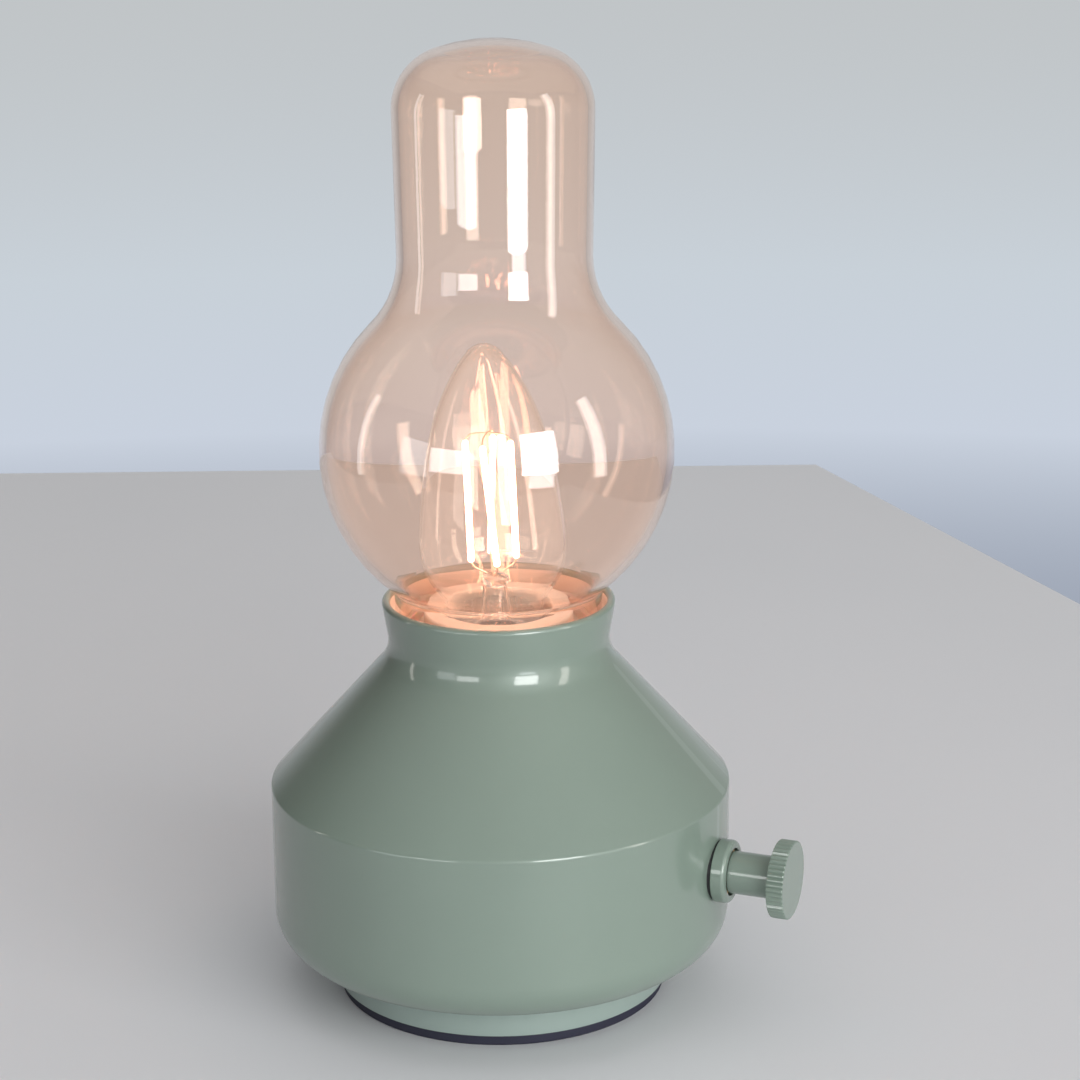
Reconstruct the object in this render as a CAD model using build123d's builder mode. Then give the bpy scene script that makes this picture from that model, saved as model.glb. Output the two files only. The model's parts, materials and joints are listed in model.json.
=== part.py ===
"""Cordless table and camping lantern in the style of an oil lamp.

A pressed metal base holds two rechargeable cells, their charger and driver board, and a rotary dimmer.
A glass chimney drops into the collar, over a clear filament bulb in a screw lampholder.

Millimetres. +Z is up, +X runs out along the dimmer's knob and +Y points at the charging inlet.
The origin is the centre of the foot pad's underside.
"""
import os
from math import asin, cos, degrees, hypot, radians, sin, sqrt, tan

from build123d import *

os.makedirs("parts", exist_ok=True)

# ---------------------------------------------------------------- driving dimensions
# Clearances, each used wherever that kind of fit occurs
slip = 0.2            # loose assembly gap between fixed pieces
thread_gap = 0.03     # radial gap of a screw in its hole
shaft_gap = 0.05      # radial running gap of the dimmer's shaft
seam = 0.05           # gap between faces that turn on each other
clear = 0.35          # gap between pieces on different bodies

# Foot and plinth
foot_r, foot_h = 43.0, 3.0
plinth_r = 43.8
plinth_h = 6.5
plate_floor = 3.0
plate_room = 1.8      # between the plate's rim and the chassis posts
spigot_wall = 2.0
spigot_up = 1.5

# Pressed base shell
base_r = 60.0
bowl_rise = 6.6       # height of the bowl's slope above the crease
bowl_fillet = 10.0
ridge_z = 57.0
ridge_fillet = 1.2    # outer radius, over the wall's own thickness
lip_z = 105.8
lip_reach = 3.45      # lip beyond the chimney's skirt
neck_drop = 13.36     # neck corner below the lip
neck_reach = 1.26     # neck corner beyond the chimney's skirt
neck_fillet = 9.5
shell_wall = 1.0

# Chimney
glass_wall = 1.8
skirt_r = 26.8
skirt_depth = 6.2     # the skirt's depth in the collar
waist_fillet = 2.5
globe_r = 45.17
globe_up = 39.5       # globe centre above the lip
tube_r, tube_top_r = 24.4, 25.3
throat_fillet = 24.5
chimney_up = 142.6    # top of the chimney above the lip
dome_r = 45.0
top_fillet = 15.5

# Lampholder (E27) and bulb
well_wall = 0.6
well_depth = 8.8      # underside of the light well's floor below the lip
thread_r = 13.15      # bulb cap over its thread
thread_play = 0.5     # room round the cap in the sleeve, for the thread's height
mouth_play = 0.85
sleeve_wall = 0.5
sleeve_room = 1.05    # round the sleeve in the holder's bore
holder_wall = 2.0
cap_h = 27.0
cap_wall = 0.65
cap_sunk = 5.3        # cap's upper rim below the lip
bulb_r = 18.5
bulb_h = 71.5         # glass above the cap
bulb_wall = 0.8
bulb_lean = 2.2       # degrees the bulb leans in its thread
lean_toward = 202.4   # direction of that lean, degrees from +X
filament_r, filament_h = 0.9, 34.0
filament_ring = 5.8
filament_count = 4

# Cells and electronics
cell_r, cell_len = 9.2, 65.0
cell_gap = 1.0
cradle_h = 11.0
cradle_wall = 2.0
tray_r, tray_t = 44.0, 2.0
post_r = 4.0
post_room = 0.55      # between the lampholder's foot and the screw heads on the posts
pad_t = 1.3
board_t = 1.6
deck_rim, deck_t = 5.0, 2.0
deck_drop = 45.8      # deck's underside below the lip
block_h = 5.0         # wire connectors on the board
wire_r = 0.6
screw_r = 1.5
head_r, head_h = 2.75, 2.0
deck_screw_in = 7.0   # length of the deck's screws in their pillars
pillar_r = 3.2        # over the corners of their hexagon
dimmer_block_w = 12.0

# Dimmer, with its axis along +X
knob_z = 38.9
can_r, can_len = 8.5, 8.0
shaft_r = 3.0
bushing_r = 3.5
collar_r, collar_len = 8.2, 3.8
stem_r, stem_len = 5.5, 11.5
knob_r, knob_len = 10.1, 4.4
knurl_count, knurl_depth = 48, 0.45

# Charging inlet (USB-C) at the back
port_w, port_h, port_depth = 8.94, 3.26, 7.4
bezel_w, bezel_h = 13.0, 7.2
bezel_proud = 0.6

# ---------------------------------------------------------------- heights and places
crease_z = foot_h + plinth_h
lip_r = skirt_r + lip_reach
neck_r = skirt_r + neck_reach
sleeve_r = thread_r + thread_play
mouth_r = thread_r + mouth_play
holder_bore_r = sleeve_r + sleeve_wall + sleeve_room
holder_thread_r = holder_bore_r + holder_wall
holder_r = holder_thread_r + holder_wall
foot_screw_x = holder_r + 4.5
holder_foot_r = foot_screw_x + 4.0
bulb_neck_r = thread_r - cap_wall - slip
bowl_z = crease_z + bowl_rise
shell_in_r = base_r - shell_wall
neck_z = lip_z - neck_drop
plate_top = foot_h + plate_floor
cell_x = cell_r + cell_gap / 2
cradle_w = 2 * (cell_x + cell_r + slip + cradle_wall)
post_x = cradle_w / 2 + 1.5 + post_r
post_ring = max(holder_foot_r + head_r + post_room, hypot(post_x, dimmer_block_w / 2 + pillar_r + 1.0))
post_y = sqrt(post_ring**2 - post_x**2)
posts = [(x, y) for x in (-post_x, post_x) for y in (-post_y, post_y)]
rim_in_r = post_ring + post_r + plate_room
spigot_r = rim_in_r + spigot_wall
spigot_z = crease_z + shell_wall + spigot_up
tray_z = spigot_z + tray_t
cell_z = tray_z + slip + cell_r
cell_top = cell_z + cell_r
cavity_len = cell_len + 4 * slip
cradle_len = cavity_len + 2 * cradle_wall
board_z = cell_top + pad_t
board_top = board_z + board_t
deck_z = lip_z - deck_drop
deck_top = deck_z + deck_t
deck_r = post_ring + deck_rim
pillar_len = deck_z - board_top
deck_screw_len = min(deck_screw_in, pillar_len - 3.0)
floor_z = lip_z - well_depth
floor_top = floor_z + well_wall
seat_z = lip_z - skirt_depth
holder_top = lip_z - 4.2
mouth_z = lip_z - 2.6
cap_top = lip_z - cap_sunk
eyelet_z = cap_top - cap_h
socket_floor = eyelet_z - 2.5
port_z = board_top + port_h / 2
port_y = shell_in_r - 1.4


def neck_inner(z):
    """Inner radius of the shell's flared collar at height z."""
    slope = (lip_r - neck_r) / neck_drop
    return neck_r + (z - neck_z) * slope - shell_wall * sqrt(1 + slope**2)


def turn(points):
    """Revolve a closed outline of (radius, height) points about Z."""
    with BuildSketch(Plane.XZ) as outline:
        with BuildLine():
            Polyline(*points, close=True)
        make_face()
    revolve(outline.sketch, axis=Axis.Z)


knob_axis = Axis((0, 0, knob_z), (1, 0, 0))


def turn_on_knob_axis(points):
    """Revolve a closed outline of (distance out, radius) points about the dimmer's axis."""
    side = Plane(origin=(0, 0, knob_z), x_dir=(1, 0, 0), z_dir=(0, -1, 0))
    with BuildSketch(side) as outline:
        with BuildLine():
            Polyline(*points, close=True)
        make_face()
    revolve(outline.sketch, axis=knob_axis)


def knob_plane(x):
    """Plane square to the dimmer's axis at distance x from the lantern's axis."""
    return Plane(origin=(x, 0, knob_z), x_dir=(0, 1, 0), z_dir=(1, 0, 0))


def corner_radii(points):
    """Bend radius at each corner of a wire's route: as large as the two runs beside it allow."""
    nodes = [Vector(*point) for point in points]
    radii = []
    for before, here, after in zip(nodes, nodes[1:], nodes[2:]):
        run_in, run_out = here - before, after - here
        shorter = min(run_in.length, run_out.length)
        radii.append(0.45 * shorter / tan(radians(run_in.get_angle(run_out)) / 2))
    print("wire bends, mm:", [round(radius, 1) for radius in radii])
    return radii


def lay_wire(points):
    """Sweep one round wire along straight runs joined by tangent arcs."""
    with BuildLine() as route:
        FilletPolyline(*points, radius=corner_radii(points))
    with BuildSketch(Plane(origin=route.line @ 0, z_dir=route.line % 0)) as section:
        Circle(wire_r)
    sweep(section.sketch, path=route.line)


def save(name, builder):
    """Label a finished piece and write its STEP file."""
    builder.part.label = name
    export_step(builder.part, "parts/" + name + ".step")


# ---------------------------------------------------------------- foot, plate and shell
with BuildPart() as foot_pad:
    with BuildSketch():
        Circle(foot_r)
    extrude(amount=foot_h)
    chamfer(foot_pad.edges().group_by(Axis.Z)[0], 0.6)
save("foot_pad", foot_pad)

with BuildPart() as base_plate:
    turn([
        (0, foot_h), (plinth_r, foot_h), (plinth_r, crease_z), (spigot_r, crease_z),
        (spigot_r, spigot_z), (rim_in_r, spigot_z), (rim_in_r, plate_top), (0, plate_top),
    ])
    with Locations(Plane(origin=(0, 0, foot_h), z_dir=(0, 0, -1))):
        with Locations(*[(x, -y) for x, y in posts]):
            CounterSinkHole(radius=screw_r + thread_gap, counter_sink_radius=head_r + slip, depth=plate_floor)
save("base_plate", base_plate)

with BuildPart() as base_screws:
    with Locations(*[(x, y, foot_h) for x, y in posts]):
        Cone(head_r, screw_r, head_r - screw_r, align=(Align.CENTER, Align.CENTER, Align.MIN))
        Cylinder(screw_r, 12.0, align=(Align.CENTER, Align.CENTER, Align.MIN))
save("base_screws", base_screws)

with BuildPart() as base_shell:
    with BuildSketch(Plane.XZ):
        with BuildLine() as shell_line:
            Polyline(
                (spigot_r + slip, crease_z), (plinth_r + 0.1, crease_z), (base_r, bowl_z),
                (base_r, ridge_z), (neck_r, neck_z), (lip_r, lip_z),
            )
            fillet(shell_line.vertices().sort_by_distance((base_r, bowl_z))[0], bowl_fillet)
            fillet(shell_line.vertices().sort_by_distance((base_r, ridge_z))[0], ridge_fillet)
            fillet(shell_line.vertices().sort_by_distance((neck_r, neck_z))[0], neck_fillet)
            offset(amount=shell_wall, side=Side.LEFT, closed=True)
        make_face()
    revolve(axis=Axis.Z)
    fillet(base_shell.edges().filter_by_position(Axis.Z, lip_z - 0.3, lip_z + shell_wall), shell_wall * 0.45)
    with BuildSketch(knob_plane(0)):
        Circle(bushing_r + slip)
    extrude(amount=2 * base_r, mode=Mode.SUBTRACT)
    with BuildSketch(Plane(origin=(0, 0, port_z), x_dir=(1, 0, 0), z_dir=(0, 1, 0))):
        SlotOverall(bezel_w + 2 * slip, bezel_h + 2 * slip)
    extrude(amount=2 * base_r, mode=Mode.SUBTRACT)
save("base_shell", base_shell)

# ---------------------------------------------------------------- chassis and cells
with BuildPart() as chassis:
    with BuildSketch(Plane.XY.offset(spigot_z)):
        Circle(tray_r)
    extrude(amount=tray_t)
    with BuildSketch(Plane.XY.offset(plate_top)):
        with Locations(*posts):
            Circle(post_r)
    extrude(amount=board_z - plate_top)
    with BuildSketch(Plane.XY.offset(tray_z)):
        Rectangle(cradle_w, cradle_len)
    extrude(amount=cradle_h)
    with BuildSketch(Plane(origin=(0, -cavity_len / 2, cell_z), x_dir=(1, 0, 0), z_dir=(0, -1, 0))):
        with Locations((-cell_x, 0), (cell_x, 0)):
            Circle(cell_r + slip)
    extrude(amount=-cavity_len, mode=Mode.SUBTRACT)
    with BuildSketch(Plane.XY.offset(cell_z)):
        Rectangle(2 * (cell_x + cell_r + slip), cavity_len)
    extrude(amount=cradle_h, mode=Mode.SUBTRACT)
    # windows for the cell leads in the front end wall
    with BuildSketch(Plane.XY.offset(cell_z)):
        with Locations((-cell_x, -cradle_len / 2), (cell_x, -cradle_len / 2)):
            Rectangle(8.0, 4 * cradle_wall)
    extrude(amount=cradle_h, mode=Mode.SUBTRACT)
    # pilot holes for the base screws below and the pillars above
    with BuildSketch(Plane.XY.offset(plate_top)):
        with Locations(*posts):
            Circle(screw_r + thread_gap)
    extrude(amount=12.5, mode=Mode.SUBTRACT)
    with BuildSketch(Plane.XY.offset(board_z)):
        with Locations(*posts):
            Circle(screw_r + thread_gap)
    extrude(amount=-7.0, mode=Mode.SUBTRACT)
save("chassis", chassis)

with BuildPart() as cells:
    with BuildSketch(Plane(origin=(0, -cell_len / 2, cell_z), x_dir=(1, 0, 0), z_dir=(0, -1, 0))):
        with Locations((-cell_x, 0), (cell_x, 0)):
            Circle(cell_r)
    extrude(amount=-cell_len)
    chamfer(cells.edges().filter_by(GeomType.CIRCLE), 0.6)
save("cells", cells)

with BuildPart() as cell_tabs:
    with BuildSketch(Plane(origin=(0, -cell_len / 2, cell_z), x_dir=(1, 0, 0), z_dir=(0, -1, 0))):
        with Locations((-cell_x, 0), (cell_x, 0)):
            Rectangle(7.0, 10.0)
    extrude(amount=0.3)
save("cell_tabs", cell_tabs)

with BuildPart() as cell_link:
    with BuildSketch(Plane(origin=(0, cell_len / 2, cell_z + 3.7), x_dir=(-1, 0, 0), z_dir=(0, 1, 0))):
        Rectangle(2 * cell_x + 7.0, 7.0)
    extrude(amount=0.3)
save("cell_link", cell_link)

with BuildPart() as cell_pad:
    with BuildSketch(Plane.XY.offset(cell_top)):
        Rectangle(34.0, 28.0)
    extrude(amount=pad_t)
save("cell_pad", cell_pad)

# ---------------------------------------------------------------- board and what is on it
board_w = 2 * (post_x + post_r)
board_back = -post_y - post_r - 2.0
board_front = post_y + post_r + 2.0
block_y = board_back + 3.0
dimmer_block_x = post_x + post_r - 3.5
tongue_w = 20.0
tongue_len = port_y - slip

with BuildPart() as driver_board:
    with BuildSketch(Plane.XY.offset(board_z)):
        with Locations((0, (board_back + board_front) / 2)):
            RectangleRounded(board_w, board_front - board_back, 2.0)
        with Locations((0, tongue_len / 2)):
            Rectangle(tongue_w, tongue_len)
        with Locations(*posts):
            Circle(screw_r + slip, mode=Mode.SUBTRACT)
    extrude(amount=board_t)
save("driver_board", driver_board)

with BuildPart() as wire_blocks:
    with BuildSketch(Plane.XY.offset(board_top)):
        with Locations((0, block_y)):
            Rectangle(9.0, 6.0)
        with Locations((dimmer_block_x, 0)):
            Rectangle(7.0, dimmer_block_w)
        with Locations((0, 2.0)):
            Rectangle(9.0, 6.0)
    extrude(amount=block_h)
    chamfer(wire_blocks.edges().group_by(Axis.Z)[-1], 0.4)
save("wire_blocks", wire_blocks)

with BuildPart() as board_chips:
    with BuildSketch(Plane.XY.offset(board_top)):
        with Locations((-15.0, 8.0), (15.0, -10.0)):
            RectangleRounded(7.0, 7.0, 0.4)
        with Locations((-14.0, -9.0)):
            Rectangle(5.0, 6.2)
    extrude(amount=1.2)
save("board_chips", board_chips)

with BuildPart() as board_coil:
    with Locations((14.0, 9.0, board_top)):
        Cylinder(4.2, 4.5, align=(Align.CENTER, Align.CENTER, Align.MIN))
    chamfer(board_coil.edges().group_by(Axis.Z)[-1], 0.8)
save("board_coil", board_coil)

inlet_plane = Plane(origin=(0, port_y, port_z), x_dir=(-1, 0, 0), z_dir=(0, 1, 0))
with BuildPart() as inlet_socket:
    with BuildSketch(inlet_plane):
        SlotOverall(port_w, port_h)
    extrude(amount=-port_depth)
    with BuildSketch(inlet_plane):
        SlotOverall(port_w - 0.6, port_h - 0.6)
    extrude(amount=-port_depth + 1.0, mode=Mode.SUBTRACT)
    with BuildSketch(inlet_plane.offset(-port_depth)):
        Rectangle(port_w - 2.0, 0.7)
    extrude(amount=port_depth - 1.5)
save("inlet_socket", inlet_socket)

with BuildPart() as inlet_bezel:
    with BuildSketch(inlet_plane):
        SlotOverall(bezel_w, bezel_h)
        SlotOverall(port_w, port_h, mode=Mode.SUBTRACT)
    extrude(amount=base_r)
    with BuildSketch(Plane.XY):
        Circle(base_r + bezel_proud)
    extrude(amount=ridge_z, mode=Mode.INTERSECT)
    chamfer(inlet_bezel.edges().group_by(Axis.Y)[-1], 0.15)
save("inlet_bezel", inlet_bezel)

# ---------------------------------------------------------------- pillars and lamp deck
with BuildPart() as pillars:
    with BuildSketch(Plane.XY.offset(board_top)):
        with Locations(*posts):
            RegularPolygon(pillar_r, 6)
    extrude(amount=pillar_len)
    with BuildSketch(Plane.XY.offset(deck_z)):
        with Locations(*posts):
            Circle(screw_r + thread_gap)
    extrude(amount=-deck_screw_len - 2.0, mode=Mode.SUBTRACT)
    with BuildSketch(Plane.XY.offset(board_z - 6.0)):
        with Locations(*posts):
            Circle(screw_r)
    extrude(amount=board_t + 6.0)
save("pillars", pillars)

with BuildPart() as lamp_deck:
    with BuildSketch(Plane.XY.offset(deck_z)):
        Circle(deck_r)
        Circle(9.0, mode=Mode.SUBTRACT)
        with Locations(*posts):
            Circle(screw_r + slip, mode=Mode.SUBTRACT)
        with Locations((0, -foot_screw_x), (0, foot_screw_x)):
            Circle(screw_r + thread_gap, mode=Mode.SUBTRACT)
    extrude(amount=deck_t)
save("lamp_deck", lamp_deck)

with BuildPart() as deck_screws:
    with Locations(*[(x, y, deck_top) for x, y in posts]):
        Cylinder(head_r, head_h, align=(Align.CENTER, Align.CENTER, Align.MIN))
        Cylinder(screw_r, deck_t + deck_screw_len, align=(Align.CENTER, Align.CENTER, Align.MAX))
    with Locations(*[(x, y, deck_top + head_h) for x, y in posts]):
        Box(2.0, 0.6, 1.6, mode=Mode.SUBTRACT)
        Box(0.6, 2.0, 1.6, mode=Mode.SUBTRACT)
save("deck_screws", deck_screws)

# ---------------------------------------------------------------- lampholder
with BuildPart() as holder_body:
    turn([
        (10.0, deck_top), (holder_foot_r, deck_top), (holder_foot_r, deck_top + 3.0),
        (holder_r, deck_top + 3.0), (holder_r, floor_z), (holder_thread_r, floor_z),
        (holder_thread_r, holder_top), (holder_bore_r, holder_top), (holder_bore_r, socket_floor),
        (3.0, socket_floor), (3.0, socket_floor - 2.5), (10.0, socket_floor - 2.5),
    ])
    with BuildSketch(Plane.XY.offset(deck_top)):
        with Locations((0, -foot_screw_x), (0, foot_screw_x)):
            Circle(screw_r + slip)
    extrude(amount=3.0, mode=Mode.SUBTRACT)
save("holder_body", holder_body)

with BuildPart() as holder_screws:
    with Locations((0, -foot_screw_x, deck_top + 3.0), (0, foot_screw_x, deck_top + 3.0)):
        Cylinder(head_r, head_h, align=(Align.CENTER, Align.CENTER, Align.MIN))
        Cylinder(screw_r, 3.0 + deck_t + 1.0, align=(Align.CENTER, Align.CENTER, Align.MAX))
save("holder_screws", holder_screws)

with BuildPart() as holder_skirt:
    turn([
        (holder_thread_r + thread_gap, floor_top), (holder_r, floor_top), (holder_r, mouth_z),
        (mouth_r, mouth_z), (mouth_r, holder_top), (holder_thread_r + thread_gap, holder_top),
    ])
    fillet(holder_skirt.edges().group_by(Axis.Z)[-1], 0.5)
save("holder_skirt", holder_skirt)

sleeve_z = eyelet_z + 4.5
with BuildPart() as holder_sleeve:
    turn([
        (sleeve_r, sleeve_z), (holder_bore_r, sleeve_z - 0.5), (holder_bore_r, sleeve_z),
        (sleeve_r + sleeve_wall, sleeve_z + 0.5), (sleeve_r + sleeve_wall, sleeve_z + 18.0),
        (sleeve_r, sleeve_z + 18.0),
    ])
save("holder_sleeve", holder_sleeve)

with BuildPart() as holder_contact:
    with BuildSketch(Plane.XY.offset(socket_floor)):
        SlotOverall(20.0, 5.0)
    extrude(amount=0.5)
    with BuildSketch(Plane.XY.offset(socket_floor)):
        Circle(2.2)
    extrude(amount=eyelet_z - clear - socket_floor)
save("holder_contact", holder_contact)

with BuildPart() as light_well:
    well_top = lip_z - 0.8
    outer_low = neck_inner(floor_z) - slip
    outer_high = neck_inner(well_top) - slip
    turn([
        (holder_thread_r + slip, floor_z), (outer_low, floor_z), (outer_high, well_top),
        (outer_high - well_wall, well_top), (outer_low - well_wall, floor_top),
        (holder_thread_r + slip, floor_top),
    ])
save("light_well", light_well)

with BuildPart() as chimney_gasket:
    turn([
        (skirt_r - glass_wall - 1.0, floor_top), (skirt_r, floor_top), (skirt_r, seat_z),
        (skirt_r - glass_wall - 1.0, seat_z),
    ])
save("chimney_gasket", chimney_gasket)

# ---------------------------------------------------------------- chimney
globe_z = lip_z + globe_up
waist_angle = degrees(asin(sqrt(globe_r**2 - skirt_r**2) / globe_r))
throat_angle = degrees(asin(sqrt(globe_r**2 - tube_r**2) / globe_r))
chimney_top = lip_z + chimney_up
shoulder_z = chimney_top - dome_r + sqrt(dome_r**2 - tube_top_r**2)
with BuildPart() as chimney:
    with BuildSketch(Plane.XZ):
        with BuildLine() as glass_line:
            globe = CenterArc((0, globe_z), globe_r, -waist_angle, waist_angle + throat_angle)
            Line((skirt_r, seat_z), globe @ 0)
            tube = Line(globe @ 1, (tube_top_r, shoulder_z))
            dome = RadiusArc(tube @ 1, (0, chimney_top), -dome_r)
            fillet(glass_line.vertices().sort_by_distance(globe @ 0)[0], waist_fillet)
            fillet(glass_line.vertices().sort_by_distance(tube @ 0)[0], throat_fillet)
            fillet(glass_line.vertices().sort_by_distance(tube @ 1)[0], top_fillet)
            offset(amount=glass_wall, side=Side.LEFT, closed=True)
        make_face()
    revolve(axis=Axis.Z)
    fillet(chimney.edges().group_by(Axis.Z)[0], glass_wall * 0.45)
save("chimney", chimney)

# ---------------------------------------------------------------- bulb, built upright and then leaned
lean_pivot = (0, 0, cap_top - cap_h / 2)
lean_axis = Axis(lean_pivot, (-sin(radians(lean_toward)), cos(radians(lean_toward)), 0))


def save_leaning(name, builder):
    """Lean a finished bulb piece about the middle of its thread, then label and write it."""
    builder.part = builder.part.rotate(lean_axis, bulb_lean)
    save(name, builder)


insulator_z = eyelet_z + 1.0
cap_low = eyelet_z + 6.0
cap_foot_r = thread_r - 2.55
with BuildPart() as bulb_eyelet:
    turn([
        (0, eyelet_z), (3.6, eyelet_z), (4.8, eyelet_z + 0.5), (4.8, insulator_z - seam),
        (0, insulator_z - seam),
    ])
save_leaning("bulb_eyelet", bulb_eyelet)

with BuildPart() as bulb_insulator:
    turn([(0, insulator_z), (5.6, insulator_z), (cap_foot_r, cap_low), (0, cap_low)])
save_leaning("bulb_insulator", bulb_insulator)

with BuildPart() as bulb_cap:
    turn([
        (cap_foot_r - 1.0, cap_low), (cap_foot_r + 1.0, cap_low), (thread_r, cap_low + 2.0),
        (thread_r, cap_top), (thread_r - cap_wall, cap_top), (thread_r - cap_wall, cap_top - 3.0),
        (thread_r - 1.0, cap_low + 2.6), (cap_foot_r - 1.0, cap_low + 1.0),
    ])
save_leaning("bulb_cap", bulb_cap)

with BuildPart() as bulb_driver:
    with Locations((0, 0, cap_low)):
        Box(12.0, 1.2, 14.0, align=(Align.CENTER, Align.CENTER, Align.MIN))
save_leaning("bulb_driver", bulb_driver)

neck_low = cap_top - 2.8
tip_z = cap_top + bulb_h


def bulb_outline(inset):
    """Draw half the bulb's outline, inset by a wall, from the neck up to the tip."""
    return Spline(
        (bulb_neck_r - inset, neck_low),
        (bulb_neck_r - inset, cap_top + 1.5),
        (bulb_r * 0.93 - inset, cap_top + bulb_h * 0.15),
        (bulb_r - inset, cap_top + bulb_h * 0.38),
        (bulb_r * 0.80 - inset, cap_top + bulb_h * 0.68),
        (bulb_r * 0.42 - inset, cap_top + bulb_h * 0.91),
        (0, tip_z - inset),
        tangents=[(0, 1), (-1, 0)],
    )


with BuildPart() as bulb_glass:
    with BuildSketch(Plane.XZ):
        with BuildLine():
            outside = bulb_outline(0.0)
            inside = bulb_outline(bulb_wall)
            Line(outside @ 0, inside @ 0)
            Line(outside @ 1, inside @ 1)
        make_face()
    revolve(axis=Axis.Z)
save_leaning("bulb_glass", bulb_glass)

stem_top = cap_top + 12.0
with BuildPart() as bulb_stem:
    with BuildSketch(Plane.XZ):
        with BuildLine():
            Line((0, neck_low), (bulb_neck_r - bulb_wall - slip, neck_low))
            ThreePointArc((bulb_neck_r - bulb_wall - slip, neck_low), (5.2, neck_low + 3.2), (3.4, neck_low + 7.6))
            Line((3.4, neck_low + 7.6), (3.0, stem_top))
            Line((3.0, stem_top), (0, stem_top))
            Line((0, stem_top), (0, neck_low))
        make_face()
    revolve(axis=Axis.Z)
    fillet(bulb_stem.edges().group_by(Axis.Z)[-1], 1.0)
save_leaning("bulb_stem", bulb_stem)

filament_z = stem_top + 2.0
filament_top = filament_z + filament_h
with BuildPart() as bulb_wires:
    with BuildSketch(Plane.XY.offset(stem_top)):
        Circle(0.3)
    extrude(amount=filament_top + 1.5 - stem_top)
    for wire_height in (stem_top, filament_top + 0.6):
        with BuildSketch(Plane.XY.offset(wire_height)):
            with PolarLocations(filament_ring / 2, filament_count, start_angle=20):
                Rectangle(filament_ring + 0.4, 0.5)
        extrude(amount=0.5)
save_leaning("bulb_wires", bulb_wires)

with BuildPart() as bulb_filaments:
    with PolarLocations(filament_ring, filament_count, start_angle=20):
        Cylinder(filament_r, filament_h, rotation=(4, 0, 0))
bulb_filaments.part = bulb_filaments.part.translate((0, 0, filament_z + filament_h / 2))
save_leaning("bulb_filaments", bulb_filaments)

# ---------------------------------------------------------------- dimmer and knob
can_front = sqrt(shell_in_r**2 - can_r**2) - 0.6
can_back = can_front - can_len
collar_back = base_r + 0.5
collar_front = collar_back + collar_len
nut_x = collar_back + 1.0
stem_x = collar_front - 0.3
disc_x = collar_front + stem_len
knob_front = disc_x + knob_len

with BuildPart() as dimmer_body:
    turn_on_knob_axis([
        (can_back, 0), (can_back, can_r), (can_front, can_r), (can_front, bushing_r + thread_gap),
        (can_front - 2.0, bushing_r + thread_gap), (can_front - 2.0, can_r - 1.0), (can_back + 1.0, can_r - 1.0),
        (can_back + 1.0, 0),
    ])
save("dimmer_body", dimmer_body)

with BuildPart() as dimmer_bushing:
    turn_on_knob_axis([
        (can_front - 2.0, shaft_r + shaft_gap), (can_front - 2.0, bushing_r), (nut_x + 2.2, bushing_r),
        (nut_x + 2.2, shaft_r + shaft_gap),
    ])
save("dimmer_bushing", dimmer_bushing)

with BuildPart() as dimmer_spacer:
    with BuildSketch(knob_plane(can_front)):
        Circle(can_r - 0.8)
        Circle(bushing_r + slip, mode=Mode.SUBTRACT)
    extrude(amount=shell_in_r - can_front)
    with BuildSketch(Plane.XY.offset(knob_z - 2 * can_r)):
        Circle(shell_in_r)
    extrude(amount=4 * can_r, mode=Mode.INTERSECT)
save("dimmer_spacer", dimmer_spacer)

with BuildPart() as collar_gasket:
    with BuildSketch(knob_plane(base_r - 2.0)):
        Circle(collar_r - 0.6)
        Circle(bushing_r + slip, mode=Mode.SUBTRACT)
    extrude(amount=collar_back - base_r + 2.0)
    with BuildSketch(Plane.XY.offset(knob_z - 2 * collar_r)):
        Circle(base_r)
    extrude(amount=4 * collar_r, mode=Mode.SUBTRACT)
save("collar_gasket", collar_gasket)

with BuildPart() as knob_collar:
    turn_on_knob_axis([
        (collar_back, bushing_r + slip), (collar_back, collar_r), (collar_front, collar_r),
        (collar_front, stem_r + 0.6), (nut_x, stem_r + 0.6), (nut_x, bushing_r + slip),
    ])
    fillet(knob_collar.edges().filter_by(GeomType.CIRCLE).group_by(Axis.X)[-1].group_by(SortBy.LENGTH)[-1], 1.2)
save("knob_collar", knob_collar)

with BuildPart() as dimmer_nut:
    with BuildSketch(knob_plane(nut_x)):
        RegularPolygon(stem_r + 0.3, 6)
        Circle(bushing_r + thread_gap, mode=Mode.SUBTRACT)
    extrude(amount=2.0)
save("dimmer_nut", dimmer_nut)

with BuildPart() as dimmer_lugs:
    with BuildSketch(knob_plane(can_back)):
        with Locations(*[(y, board_top + block_h / 2 - knob_z) for y in (-4.0, 0.0, 4.0)]):
            Rectangle(2.0, 0.6)
    extrude(amount=-3.5)
save("dimmer_lugs", dimmer_lugs)

shaft_end = disc_x + 1.0
with BuildPart() as dimmer_shaft:
    with BuildSketch(knob_plane(can_back + 1.5)):
        Circle(shaft_r)
    extrude(amount=shaft_end - can_back - 1.5)
    with BuildSketch(knob_plane(stem_x + 1.5)):
        with Locations((0, -shaft_r)):
            Rectangle(4 * shaft_r, 2.4)
    extrude(amount=shaft_end - stem_x, mode=Mode.SUBTRACT)
save("dimmer_shaft", dimmer_shaft)

with BuildPart() as dimmer_wiper:
    with BuildSketch(knob_plane(can_back + 2.6)):
        Circle(5.4)
        Circle(shaft_r + thread_gap, mode=Mode.SUBTRACT)
    extrude(amount=1.4)
save("dimmer_wiper", dimmer_wiper)

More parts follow.
